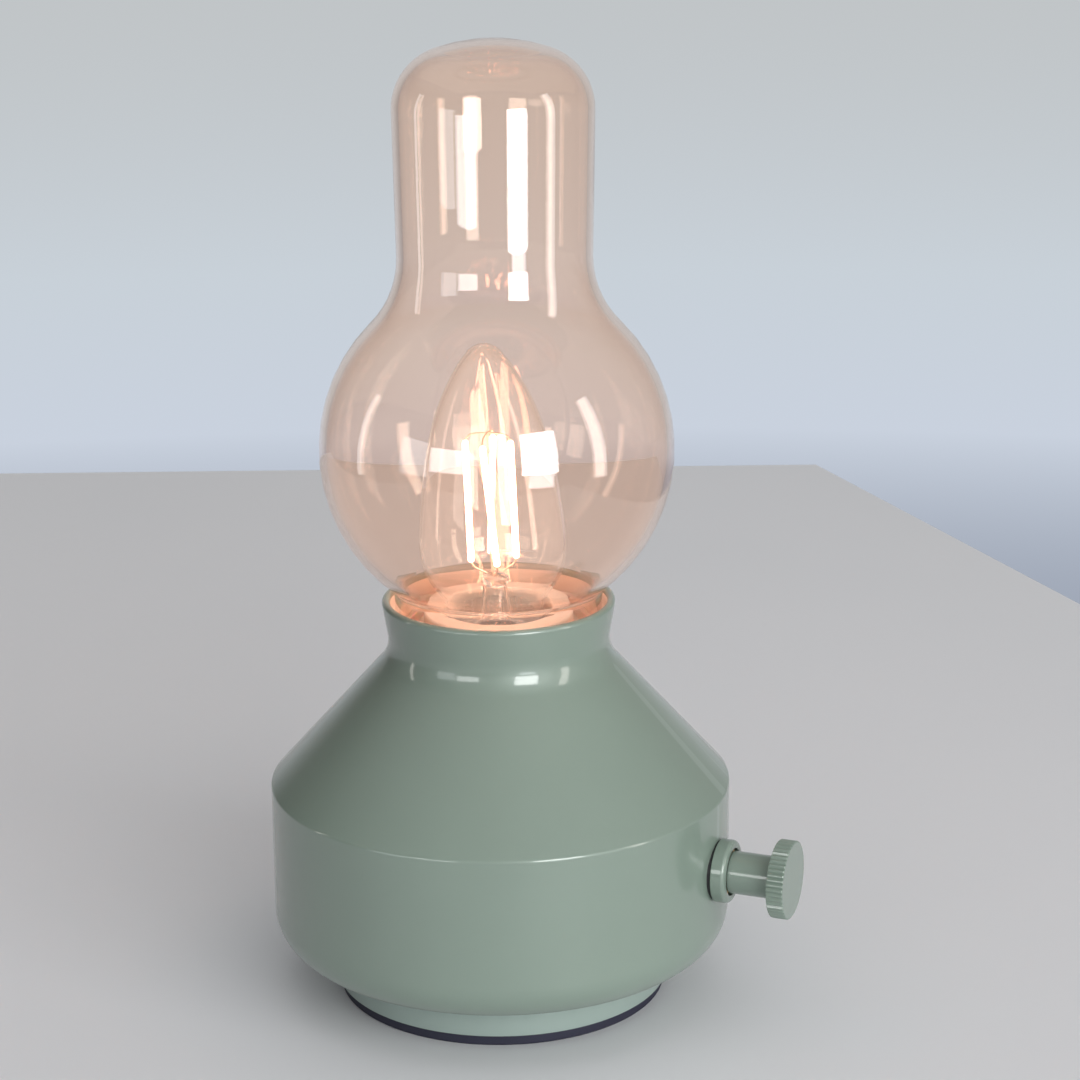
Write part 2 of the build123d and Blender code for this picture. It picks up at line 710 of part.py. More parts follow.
with BuildPart() as knob:
    turn_on_knob_axis([
        (stem_x, 0), (stem_x, stem_r), (disc_x, stem_r), (disc_x, knob_r), (knob_front, knob_r),
        (knob_front, 0),
    ])
    chamfer(knob.edges().filter_by(GeomType.CIRCLE).filter_by(lambda e: e.radius > knob_r - 0.1), 0.5)
    with BuildSketch(knob_plane(disc_x)):
        with PolarLocations(knob_r + 0.12, knurl_count):
            Rectangle(2 * knurl_depth, 2 * knurl_depth, rotation=45)
    extrude(amount=knob_len, mode=Mode.SUBTRACT)
    with BuildSketch(knob_plane(stem_x)):
        Circle(shaft_r + thread_gap)
    extrude(amount=1.5, mode=Mode.SUBTRACT)
    with BuildSketch(knob_plane(stem_x + 1.5)):
        Circle(shaft_r + thread_gap)
        with Locations((0, -shaft_r - thread_gap)):
            Rectangle(4 * shaft_r, 2.4, mode=Mode.SUBTRACT)
    extrude(amount=shaft_end - stem_x - 1.4, mode=Mode.SUBTRACT)
    with Locations(Location(((stem_x + disc_x) / 2, 0, knob_z))):
        Cylinder(1.5 + thread_gap, 2 * stem_r, align=(Align.CENTER, Align.CENTER, Align.MAX), mode=Mode.SUBTRACT)
save("knob", knob)

with BuildPart() as knob_screw:
    with Locations(Location(((stem_x + disc_x) / 2, 0, knob_z - shaft_r + 1.2))):
        Cylinder(1.5, 3.2, align=(Align.CENTER, Align.CENTER, Align.MAX))
    with BuildSketch(Plane(origin=((stem_x + disc_x) / 2, 0, knob_z - shaft_r - 2.0), z_dir=(0, 0, -1))):
        RegularPolygon(0.85, 6)
    extrude(amount=-1.4, mode=Mode.SUBTRACT)
save("knob_screw", knob_screw)

# ---------------------------------------------------------------- wiring
block_z = board_top + block_h / 2
lead_y = -cradle_len / 2 - 6.0
with BuildPart() as cell_leads:
    for side in (-1, 1):
        lay_wire([
            (side * cell_x, -cell_len / 2 - 0.3, cell_z + 2.5), (side * cell_x, lead_y, cell_z + 2.5),
            (side * 2.0, lead_y, block_z), (side * 2.0, board_back, block_z),
        ])
save("cell_leads", cell_leads)

lug_x = can_back - 3.5
block_x = dimmer_block_x + 3.5
lead_step = (lug_x - block_x) / 4
with BuildPart() as dimmer_leads:
    for y in (-4.0, 0.0, 4.0):
        lay_wire([
            (lug_x, y, block_z), (lug_x - lead_step, y, block_z), (lug_x - 2 * lead_step, y, block_z - 1.6),
            (lug_x - 3 * lead_step, y, block_z), (block_x, y, block_z),
        ])
save("dimmer_leads", dimmer_leads)

lead_top = socket_floor - 2.5
with BuildPart() as holder_leads:
    for side in (-1, 1):
        lay_wire([
            (side * 2.0, 2.0, board_top + block_h), (side * 2.0, 2.0, board_top + block_h + 6.0),
            (side * 5.0, 6.0, deck_z - 5.0), (side * 5.0, 1.5, deck_z + 3.0), (side * 5.0, 1.5, lead_top),
        ])
save("holder_leads", holder_leads)
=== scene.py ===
"""Finishes and fine detail for a cordless lantern in the style of an oil lamp.

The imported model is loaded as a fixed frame. Each sub-assembly is a class that builds its visible pieces round the
frame's own boxes, in metres, and dresses them. +Z is up, +X runs out along the dimmer's knob.
"""

from __future__ import annotations

import json
import logging
from dataclasses import dataclass
from enum import Enum
from math import acos, atan2, ceil, cos, pi, radians, sin, sqrt, tan
from typing import Callable, Sequence, Union

import bpy
import numpy as np
from mathutils import Matrix, Vector


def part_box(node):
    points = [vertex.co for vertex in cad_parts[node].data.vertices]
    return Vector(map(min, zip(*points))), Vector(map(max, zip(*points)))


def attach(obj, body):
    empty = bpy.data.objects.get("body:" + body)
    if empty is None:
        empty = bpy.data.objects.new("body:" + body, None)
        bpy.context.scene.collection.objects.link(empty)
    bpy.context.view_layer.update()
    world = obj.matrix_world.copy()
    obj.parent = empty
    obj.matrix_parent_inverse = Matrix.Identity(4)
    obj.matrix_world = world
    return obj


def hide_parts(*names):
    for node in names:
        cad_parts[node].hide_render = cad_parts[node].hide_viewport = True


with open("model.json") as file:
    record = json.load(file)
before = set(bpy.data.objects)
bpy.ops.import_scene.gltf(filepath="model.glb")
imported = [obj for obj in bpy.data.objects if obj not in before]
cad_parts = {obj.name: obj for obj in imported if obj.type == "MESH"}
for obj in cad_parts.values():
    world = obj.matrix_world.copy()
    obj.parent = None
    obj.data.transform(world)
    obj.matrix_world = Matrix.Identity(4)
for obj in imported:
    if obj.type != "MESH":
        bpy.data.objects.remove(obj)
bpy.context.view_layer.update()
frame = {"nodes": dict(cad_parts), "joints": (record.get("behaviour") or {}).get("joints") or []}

Piece = bpy.types.Object
Material = bpy.types.Material
Owner = Union[Material, bpy.types.World]
Point = tuple[float, float]
Colour = tuple[float, float, float]
Relief = Callable[[float, float, float], float]

LOG = logging.getLogger("lantern")
MM = 0.001
HOLD = 0.04 * MM        # distance of the ring that keeps a flat face flat beside a round corner
ARC_STEP = radians(7)   # largest turn between two points of an arc
RIM_STEPS = 10          # steps across a half-round edge
TURNS = 192             # points round a turned piece
FINE_TURNS = 256        # points round the widest pieces
KNURLED_TURNS = 384     # points round a ribbed or knurled piece
MEDIUM_TURNS = 128      # points round the middling ones
SMALL_TURNS = 96        # points round the small ones
ROD_TURNS = 24          # points round a filament
SCREW_PITCH = 25.4 / 7 * MM
OPENING_GAP = 0.2 * MM  # room round what stands in an opening of the shell
ON_AXIS = 1e-7          # smaller radii lie on the axis
SHARP = radians(32)     # faces that meet at more than this are shaded as an edge
LIP_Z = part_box("base_shell")[1].z
AXIS_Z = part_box("knob")[0].lerp(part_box("knob")[1], 0.5).z
KNOB_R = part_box("knob")[1].y


class Slot(Enum):
    """The record's material slots."""

    SAGE = "sage_enamel"
    PLINTH = "plinth_enamel"
    FOOT = "foot_rubber"
    CREAM = "cream_enamel"
    ROSE_GLASS = "rose_glass"
    CLEAR_GLASS = "clear_glass"
    FILAMENT = "filament"
    HOLDER = "holder_plastic"
    SILICONE = "silicone"
    BLACK_RUBBER = "black_rubber"
    BRASS = "brass"
    NICKEL = "nickel"
    STEEL = "steel_screw"
    CHASSIS = "chassis_plastic"
    CELL_WRAP = "cell_wrap"
    BOARD = "board_green"
    CHIP = "chip_black"
    CONNECTOR = "connector_white"
    FOAM = "foam"
    WIRE = "wire_red"
    INSULATOR = "insulator_black"
    THIN_WIRE = "thin_wire"


class Body(Enum):
    """The bodies that pieces ride on."""

    BASE = "base"
    CHIMNEY = "chimney"
    BULB = "bulb"
    DIMMER = "dimmer"


# ---------------------------------------------------------------- outlines
def spread(first: float, last: float, steps: int) -> list[float]:
    """Evenly spaced values, both ends included."""
    return [first + (last - first) * step / steps for step in range(steps + 1)]


def arc(centre: Point, radius: float, start: float, end: float) -> list[Point]:
    """Points along an arc of an outline.

    Args:
        centre: The arc's centre, as (radius, height).
        radius: The arc's radius.
        start: Angle of the first point, in radians from straight out.
        end: Angle of the last point.

    Returns:
        The points, both ends included.
    """
    count = max(2, ceil(abs(end - start) / ARC_STEP))
    angles = spread(start, end, count)
    return [(centre[0] + radius * cos(angle), centre[1] + radius * sin(angle)) for angle in angles]


def circle(radius: float) -> list[Point]:
    """A full circle round the origin, with no point twice."""
    return arc((0.0, 0.0), radius, 0.0, 2 * pi)[:-1]


def round_corner(before: Point, corner: Point, after: Point, radius: float) -> list[Point]:
    """Points that replace one corner of an outline by an arc.

    Args:
        before: The corner before it.
        corner: The corner that is rounded.
        after: The corner after it.
        radius: The arc's radius.

    Returns:
        The arc's points, with one more on each straight run just outside it.
    """
    here = Vector(corner)
    back = (Vector(before) - here).normalized()
    ahead = (Vector(after) - here).normalized()
    half = acos(max(-1.0, min(1.0, back.dot(ahead)))) / 2
    reach = radius / tan(half)
    middle = here + (back + ahead).normalized() * radius / sin(half)
    first, last = here + back * reach, here + ahead * reach
    start = atan2(first.y - middle.y, first.x - middle.x)
    turn = (atan2(last.y - middle.y, last.x - middle.x) - start + pi) % (2 * pi) - pi
    bend = arc(tuple(middle), radius, start, start + turn)
    return [tuple(first + back * HOLD), *bend, tuple(last + ahead * HOLD)]


def rounded(corners: Sequence[tuple[float, ...]], closed: bool = True) -> list[Point]:
    """An outline from its corners, each given as (radius, height) or (radius, height, corner radius).

    Args:
        corners: The corners in order.
        closed: Whether the last corner joins the first.

    Returns:
        The outline's points.
    """
    points: list[Point] = []
    count = len(corners)
    for index, corner in enumerate(corners):
        inner = closed or 0 < index < count - 1
        if len(corner) == 3 and inner:
            before, after = corners[index - 1][:2], corners[(index + 1) % count][:2]
            points += round_corner(before, corner[:2], after, corner[2])
        else:
            points.append(tuple(corner[:2]))
    return points


def inset(points: Sequence[Point], wall: float) -> list[Point]:
    """The same open outline moved to its left.

    Args:
        points: The outline.
        wall: How far it moves.

    Returns:
        The moved points.
    """
    line = [Vector(point) for point in points]
    runs = [(after - here).normalized() for here, after in zip(line, line[1:])]
    sides = [Vector((-run.y, run.x)) for run in runs]
    moved = []
    for here, back, ahead in zip(line, sides[:1] + sides, sides + sides[-1:]):
        mean = (back + ahead).normalized()
        moved.append(tuple(here + mean * wall / mean.dot(back)))
    return moved


def rim(outer: Point, inner: Point, ahead: Point) -> list[Point]:
    """A half-round edge between the ends of an outer and an inner outline.

    Args:
        outer: End of the outer outline.
        inner: End of the inner outline.
        ahead: Direction in which the edge bulges.

    Returns:
        The points between the two ends.
    """
    first, last = Vector(outer), Vector(inner)
    middle, radius = (first + last) / 2, (first - last).length / 2
    bulge = Vector(ahead).normalized() * radius
    across = first - middle
    angles = spread(0.0, pi, RIM_STEPS)[1:-1]
    return [tuple(middle + across * cos(angle) + bulge * sin(angle)) for angle in angles]


def blown(outer: Sequence[Point], wall: float) -> list[Point]:
    """The closed outline of blown glass, with a rounded rim at its open end.

    Args:
        outer: The outer outline, from the open end up to the axis.
        wall: The glass's thickness.

    Returns:
        The outline's points, from the axis inside to the axis outside.
    """
    crown = outer[-1][1]
    inner = [*inset(outer, wall)[:-1], (0.0, crown - wall)]
    return inner[::-1] + rim(inner[0], outer[0], (0.0, -1.0)) + [*outer[:-1], (0.0, crown)]


def beside(start: Vector, along: Vector, centre: Vector, distance: float) -> Vector:
    """The far point of a line that is at a distance from a centre.

    Args:
        start: A point of the line.
        along: The line's direction, of length 1.
        centre: The centre.
        distance: The distance from it.

    Returns:
        The point.
    """
    away = start - centre
    half = away.dot(along)
    return start + along * (-half + sqrt(half**2 - away.length_squared + distance**2))


def smooth_through(points: Sequence[Point], first: Point, last: Point, steps: int) -> list[Point]:
    """A smooth curve through a few points, with the direction set at both ends.

    Args:
        points: The points that it passes through.
        first: Direction at the first point.
        last: Direction at the last point.
        steps: Number of steps along the whole curve.

    Returns:
        Points along the curve.
    """
    knots = np.array(points, float)
    gaps = np.hypot(*np.diff(knots, axis=0).T)
    at = np.concatenate([[0.0], np.cumsum(gaps)])
    count = len(knots)
    weights, sums = np.eye(count), np.zeros((count, 2))
    sums[0], sums[-1] = first, last
    for index in range(1, count - 1):
        before, after = gaps[index - 1], gaps[index]
        weights[index, index - 1 : index + 2] = after, 2 * (before + after), before
        rise_in = (knots[index] - knots[index - 1]) / before
        rise_out = (knots[index + 1] - knots[index]) / after
        sums[index] = 3 * (after * rise_in + before * rise_out)
    slopes = np.linalg.solve(weights, sums)
    place = np.linspace(0, at[-1], steps + 1)
    index = np.minimum(np.searchsorted(at, place, side="right") - 1, count - 2)
    gap = gaps[index][:, None]
    u = (place - at[index])[:, None] / gap
    ends = knots[index] * (1 + 2 * u) * (1 - u) ** 2 + knots[index + 1] * u * u * (3 - 2 * u)
    bends = slopes[index] * gap * u * (1 - u) ** 2 + slopes[index + 1] * gap * u * u * (u - 1)
    return [(max(radius, 0.0), height) for radius, height in (ends + bends).tolist()]


# ---------------------------------------------------------------- meshes
def add_piece(name: str, vertices: Sequence[Vector], faces: Sequence[Sequence[int]], place: Matrix) -> Piece:
    """Make a smooth-shaded mesh object with outward faces.

    Args:
        name: The piece's name.
        vertices: Its points.
        faces: Its faces, as lists of point numbers.
        place: Moves the points to where the piece belongs.

    Returns:
        The object.
    """
    mesh = bpy.data.meshes.new(name)
    mesh.from_pydata([place @ Vector(vertex) for vertex in vertices], [], faces)
    mesh.validate()
    piece = bpy.data.objects.new(name, mesh)
    bpy.context.scene.collection.objects.link(piece)
    shade(piece)
    return piece


def shade(piece: Piece) -> None:
    """Shade a piece smooth, except across its real edges."""
    mesh = piece.data
    mesh.polygons.foreach_set("use_smooth", [True] * len(mesh.polygons))
    mesh.set_sharp_from_angle(angle=SHARP)
    mesh.update()


def lathe(
    name: str,
    outline: Sequence[Point],
    place: Matrix = Matrix.Identity(4),
    relief: Relief | None = None,
    turns: int = TURNS,
) -> Piece:
    """Turn an outline round the Z axis.

    Args:
        name: The piece's name.
        outline: Points as (radius, height), with the material on their left. An outline with both ends on the axis
            is closed there; any other joins its last point to its first.
        place: Moves the turned piece to where it belongs.
        relief: Gives what to add to a point's radius, from its angle, radius and height.
        turns: Number of points round the axis.

    Returns:
        The object.
    """
    vertices: list[Vector] = []
    rings: list[list[int]] = []
    for radius, height in outline:
        start = len(vertices)
        if radius < ON_AXIS:
            vertices.append(Vector((0, 0, height)))
            rings.append([start] * turns)
            continue
        for step in range(turns):
            angle = 2 * pi * step / turns
            reach = radius + (relief(angle, radius, height) if relief else 0.0)
            vertices.append(Vector((reach * cos(angle), reach * sin(angle), height)))
        rings.append([start + step for step in range(turns)])
    if outline[0][0] >= ON_AXIS or outline[-1][0] >= ON_AXIS:
        rings.append(rings[0])
    faces = []
    for low, high in zip(rings, rings[1:]):
        for step in range(turns):
            after = (step + 1) % turns
            ring = [low[step], low[after], high[after], high[step]]
            face = [corner for index, corner in enumerate(ring) if corner != ring[index - 1]]
            if len(face) > 2:
                faces.append(face)
    return add_piece(name, vertices, faces, place)


def baked(thing: Piece) -> bpy.types.Mesh:
    """The mesh that a curve or a changed piece comes to."""
    return bpy.data.meshes.new_from_object(thing.evaluated_get(bpy.context.evaluated_depsgraph_get()))


def cut(piece: Piece, tool: Piece) -> None:
    """Take a tool's volume out of a piece.

    Args:
        piece: The piece that is cut.
        tool: The cutter, which is removed.
    """
    change = piece.modifiers.new("cut", "BOOLEAN")
    change.operation = "DIFFERENCE"
    change.solver = "EXACT"
    change.object = tool
    mesh = baked(piece)
    piece.modifiers.clear()
    piece.data = mesh
    bpy.data.objects.remove(tool)
    shade(piece)


def bar(name: str, outline: Sequence[Point], length: float, place: Matrix) -> Piece:
    """A straight bar along Z from the origin, with an outline of (x, y) points as its section.

    Args:
        name: The piece's name.
        outline: The section's points, anticlockwise.
        length: The bar's length.
        place: Moves the bar to where it belongs.

    Returns:
        The object.
    """
    count = len(outline)
    vertices = [Vector((x, y, z)) for z in (0.0, length) for x, y in outline]
    sides = [[i, (i + 1) % count, count + (i + 1) % count, count + i] for i in range(count)]
    ends = [list(range(count))[::-1], list(range(count, 2 * count))]
    return add_piece(name, vertices, sides + ends, place)


def within(share: float) -> float:
    """A share held between 0 and 1."""
    return min(1.0, max(0.0, share))


def thread_wave(angle: float, height: float) -> float:
    """The round thread of a 27 mm lamp cap, from 0 at its crest to 1 at its root."""
    return 0.5 - 0.5 * cos(2 * pi * height / SCREW_PITCH - angle)


def slot_outline(width: float, height: float) -> list[Point]:
    """The outline of a slot with round ends, lying along X."""
    radius, reach = height / 2, (width - height) / 2
    return arc((reach, 0.0), radius, -pi / 2, pi / 2) + arc((-reach, 0.0), radius, pi / 2, 3 * pi / 2)


def wire(name: str, points: Sequence[Vector], radius: float, place: Matrix = Matrix.Identity(4)) -> Piece:
    """A round wire along a smooth curve near a few points.

    Args:
        name: The piece's name.
        points: The curve's control points; it starts and ends on the first and last.
        radius: The wire's radius.
        place: Moves the wire to where it belongs.

    Returns:
        The object.
    """
    curve = bpy.data.curves.new(name, "CURVE")
    curve.dimensions = "3D"
    curve.bevel_depth = radius
    curve.bevel_resolution = 4
    curve.use_fill_caps = True
    spline = curve.splines.new("NURBS")
    spline.points.add(len(points) - 1)
    for knot, point in zip(spline.points, points):
        knot.co = (*(place @ Vector(point)), 1.0)
    spline.order_u = 3
    spline.use_endpoint_u = True
    spline.resolution_u = 10
    rod = bpy.data.objects.new(name, curve)
    bpy.context.scene.collection.objects.link(rod)
    mesh = baked(rod)
    bpy.data.objects.remove(rod)
    piece = bpy.data.objects.new(name, mesh)
    bpy.context.scene.collection.objects.link(piece)
    shade(piece)
    return piece


def join(name: str, parts: Sequence[Piece]) -> Piece:
    """Join several meshes into one piece.

    Args:
        name: The joined piece's name.
        parts: The meshes, which are removed.

    Returns:
        The joined object.
    """
    vertices: list[Vector] = []
    faces: list[list[int]] = []
    for part in parts:
        start = len(vertices)
        vertices += [vertex.co.copy() for vertex in part.data.vertices]
        faces += [[start + corner for corner in face.vertices] for face in part.data.polygons]
        bpy.data.objects.remove(part)
    return add_piece(name, vertices, faces, Matrix.Identity(4))


# ---------------------------------------------------------------- shader expressions
class Wire:
    """An output socket that can stand in a sum; each operator adds one Math node."""

    def __init__(self, shader: Shader, socket: bpy.types.NodeSocket | None) -> None:
        """Wrap a socket of a shader's tree."""
        self.shader = shader
        self.socket = socket

    def math(self, operation: str, first: Value, second: Value = 0.0) -> Wire:
        """Add a Math node with this operation on two values."""
        return self.shader.node("ShaderNodeMath", {"operation": operation}, {0: first, 1: second})

    def __add__(self, other: Value) -> Wire:
        """Self plus other."""
        return self.math("ADD", self, other)

    __radd__ = __add__

    def __sub__(self, other: Value) -> Wire:
        """Self minus other."""
        return self.math("SUBTRACT", self, other)

    def __rsub__(self, other: Value) -> Wire:
        """Other minus self."""
        return self.math("SUBTRACT", other, self)

    def __mul__(self, other: Value) -> Wire:
        """Self times other."""
        return self.math("MULTIPLY", self, other)

    __rmul__ = __mul__


Value = Union[Wire, float, Colour]


class Shader:
    """The node tree of a material or a world, written as expressions."""

    def __init__(self, owner: Owner) -> None:
        """Start an empty tree in a material or world."""
        self.owner = owner
        self.owner.use_nodes = True
        self.tree = self.owner.node_tree
        self.tree.nodes.clear()

    def node(self, kind: str, settings: dict | None = None, inputs: dict | None = None, output: int | str = 0) -> Wire:
        """Add one node.

        Args:
            kind: The node's type.
            settings: What to set on it first; "stops" are a ramp's (position, colour) pairs.
            inputs: A value or a wire for each input, by number or name.
            output: The output that is returned.

        Returns:
            That output.
        """
        made = self.tree.nodes.new(kind)
        for setting, value in (settings or {}).items():
            if setting == "stops":
                stops = made.color_ramp.elements
                while len(stops) < len(value):
                    stops.new(0.5)
                for stop, (position, colour) in zip(stops, value):
                    stop.position, stop.color = position, (*colour, 1.0)
            else:
                setattr(made, setting, value)
        for key, value in (inputs or {}).items():
            socket = made.inputs[key]
            if isinstance(value, Wire):
                self.tree.links.new(value.socket, socket)
            elif isinstance(value, tuple) and socket.type == "RGBA":
                socket.default_value = (*value, 1.0)
            else:
                socket.default_value = value
        return Wire(self, made.outputs[output] if len(made.outputs) else None)

    def place(self) -> Wire:
        """The point on the object, in metres."""
        return self.node("ShaderNodeTexCoord", output="Object")

    def noise(self, size: float, detail: float = 2.0, roughness: float = 0.5, stretch: Colour = (1, 1, 1)) -> Wire:
        """Cloudy noise from 0 to 1.

        Args:
            size: Size of its patches, in metres.
            detail: How many finer layers it has.
            roughness: How strong those are.
            stretch: Scale along each axis, less than 1 for longer patches.

        Returns:
            The noise.
        """
        place = self.node("ShaderNodeMapping", inputs={"Vector": self.place(), "Scale": stretch})
        return self.node(
            "ShaderNodeTexNoise",
            inputs={"Vector": place, "Scale": 1 / size, "Detail": detail, "Roughness": roughness},
        )

    def ramp(self, value: Wire, low: float, high: float) -> Wire:
        """0 below low, 1 above high, and smooth between."""
        return self.node(
            "ShaderNodeMapRange",
            {"interpolation_type": "SMOOTHSTEP"},
            {"Value": value, "From Min": low, "From Max": high},
        )

    def mix(self, first: Value, second: Value, share: Value) -> Wire:
        """A mix of two colours."""
        return self.node("ShaderNodeMix", {"data_type": "RGBA"}, {0: share, 6: first, 7: second}, output=2)

    def bump(self, height: Wire, depth: float, strength: float = 1.0) -> Wire:
        """A normal for a height from 0 to 1 that stands for a depth in metres."""
        return self.node("ShaderNodeBump", inputs={"Height": height, "Distance": depth, "Strength": strength})

    def solid(self, **inputs: Value) -> Wire:
        """A Principled shader; an input's name has underscores for its spaces."""
        return self.node("ShaderNodeBsdfPrincipled", inputs={key.replace("_", " "): v for key, v in inputs.items()})

    def dot(self, first: Value, second: Value) -> Wire:
        """How far two directions agree, from -1 to 1."""
        return self.node("ShaderNodeVectorMath", {"operation": "DOT_PRODUCT"}, {0: first, 1: second}, "Value")

    def ray(self, kind: str) -> Wire:
        """1 for one kind of ray, and else 0."""
        return self.node("ShaderNodeLightPath", output=f"Is {kind} Ray")

    def finish(self, surface: Wire, output: str = "ShaderNodeOutputMaterial") -> Owner:
        """Use a shader as the surface, and return the material or world."""
        self.node(output, inputs={"Surface": surface})
        return self.owner

    def coat(self, **inputs: Value) -> Material:
        """Finish the material with a Principled shader."""
        return self.finish(self.solid(**inputs))


# ---------------------------------------------------------------- finishes
def tone(colour: Colour, share: float) -> Colour:
    """A colour made darker or lighter."""
    return tuple(min(1.0, share * part) for part in colour)


@dataclass(frozen=True)
class Enamel:
    """Sprayed gloss enamel on metal: slight cloudiness, orange peel, and a lighter colour along sharp convex edges."""

    name: str
    colour: Colour
    edge: Colour
    gloss: float = 0.09
    peel: float = 0.012 * MM

    def make(self) -> Material:
        """The material."""
        shader = Shader(bpy.data.materials.new(self.name))
        cloud = shader.noise(38 * MM, 3.0)
        speck = shader.noise(0.5 * MM, 1.0)
        smear = shader.noise(14 * MM, 4.0, 0.6, (1.0, 1.0, 0.35))
        peel = shader.noise(1.6 * MM, 1.0)
        paint = shader.mix(tone(self.colour, 0.93), tone(self.colour, 1.05), cloud)
        # lighter colour on sharp convex edges, found from the mesh's pointiness
        sharp_edge_share = shader.ramp(shader.node("ShaderNodeNewGeometry", output="Pointiness"), 0.53, 0.6)
        paint = shader.mix(paint, self.edge, sharp_edge_share * 0.5)
        paint = shader.mix(paint, tone(self.colour, 1.08), shader.ramp(speck, 0.72, 0.78) * 0.5)
        return shader.coat(
            Base_Color=paint,
            Roughness=0.38 + smear * 0.14,
            IOR=1.46,
            Coat_Weight=0.82 + smear * 0.18,
            Coat_Roughness=self.gloss,
            Coat_IOR=1.5,
            Normal=shader.bump(peel, self.peel, 0.35),
        )


@dataclass(frozen=True)
class Plastic:
    """Moulded plastic or rubber with a fine texture."""

    name: str
    colour: Colour
    roughness: float
    grain: float = 0.35 * MM
    depth: float = 0.02 * MM
    subsurface: float = 0.0

    def make(self) -> Material:
        """The material."""
        shader = Shader(bpy.data.materials.new(self.name))
        cloud = shader.noise(9 * MM, 3.0)
        grain = shader.noise(self.grain, 2.0)
        return shader.coat(
            Base_Color=shader.mix(tone(self.colour, 0.85), tone(self.colour, 1.12), cloud),
            Roughness=self.roughness + cloud * 0.12,
            Subsurface_Weight=self.subsurface,
            Subsurface_Scale=2 * MM,
            Normal=shader.bump(grain, self.depth, 0.6),
        )


@dataclass(frozen=True)
class Metal:
    """Bare or plated metal with drawing marks and a little tarnish."""

    name: str
    colour: Colour
    tarnish: Colour
    roughness: float
    marks: Colour = (1.0, 1.0, 0.05)

    def make(self) -> Material:
        """The material."""
        shader = Shader(bpy.data.materials.new(self.name))
        marks = shader.noise(0.25 * MM, 2.0, 0.5, self.marks)
        stain = shader.ramp(shader.noise(6 * MM, 4.0), 0.45, 0.75)
        return shader.coat(
            Base_Color=shader.mix(self.colour, self.tarnish, stain * 0.6),
            Metallic=1.0,
            Roughness=self.roughness + marks * 0.12 + stain * 0.1,
            Normal=shader.bump(marks, 0.01 * MM, 0.4),
        )


@dataclass(frozen=True)
class Glass:
    """Blown glass that lets lamps through, tinted, with a faint painted glow: an even emission that stands in for lamp
    light scattered in the glass.
    """

    name: str
    tint: Colour
    shade: Colour
    glow: Colour
    painted_glow_strength: float
    wave: float
    ior: float = 1.5

    def make(self) -> Material:
        """The material."""
        shader = Shader(bpy.data.materials.new(self.name))
        ripple = shader.noise(22 * MM, 1.0, 0.4, (1.0, 1.0, 0.4))
        glass = shader.solid(
            Base_Color=self.tint,
            Roughness=0.0,
            IOR=self.ior,
            # painted glow: an even emission all over the glass that stands in for the lamp's light scattered in it
            Transmission_Weight=1.0,
            Emission_Color=self.glow,
            Emission_Strength=self.painted_glow_strength,
            Normal=shader.bump(ripple, self.wave, 1.0),
        )
        clear = shader.node("ShaderNodeBsdfTransparent", inputs={"Color": self.shade})
        return shader.finish(shader.node("ShaderNodeMixShader", inputs={0: shader.ray("Shadow"), 1: glass, 2: clear}))


@dataclass(frozen=True)
class Glow:
    """Phosphor-coated filament, whose glow varies in small patches."""

    name: str
    hot: Colour
    warm: Colour
    strength: float

    def make(self) -> Material:
        """The material."""
        shader = Shader(bpy.data.materials.new(self.name))
        patch = shader.noise(1.2 * MM, 2.0)
        return shader.coat(
            Base_Color=(0.9, 0.62, 0.2),
            Roughness=0.5,
            Emission_Color=shader.mix(self.hot, self.warm, patch),
            Emission_Strength=self.strength,
        )


@dataclass(frozen=True)
class Board:
    """Green circuit board with copper tracks under its lacquer."""

    name: str
    lacquer: Colour
    track: Colour

    def make(self) -> Material:
        """The material."""
        shader = Shader(bpy.data.materials.new(self.name))
        cells = shader.node(
            "ShaderNodeTexVoronoi",
            {"distance": "CHEBYCHEV", "feature": "DISTANCE_TO_EDGE"},
            {"Vector": shader.place(), "Scale": 1 / (4 * MM)},
        )
        tracks = 1 - shader.ramp(cells, 0.03, 0.06)
        return shader.coat(
            Base_Color=shader.mix(self.lacquer, self.track, tracks),
            Roughness=0.35 + shader.noise(2 * MM) * 0.15,
            Normal=shader.bump(tracks, 0.03 * MM, 0.5),
        )


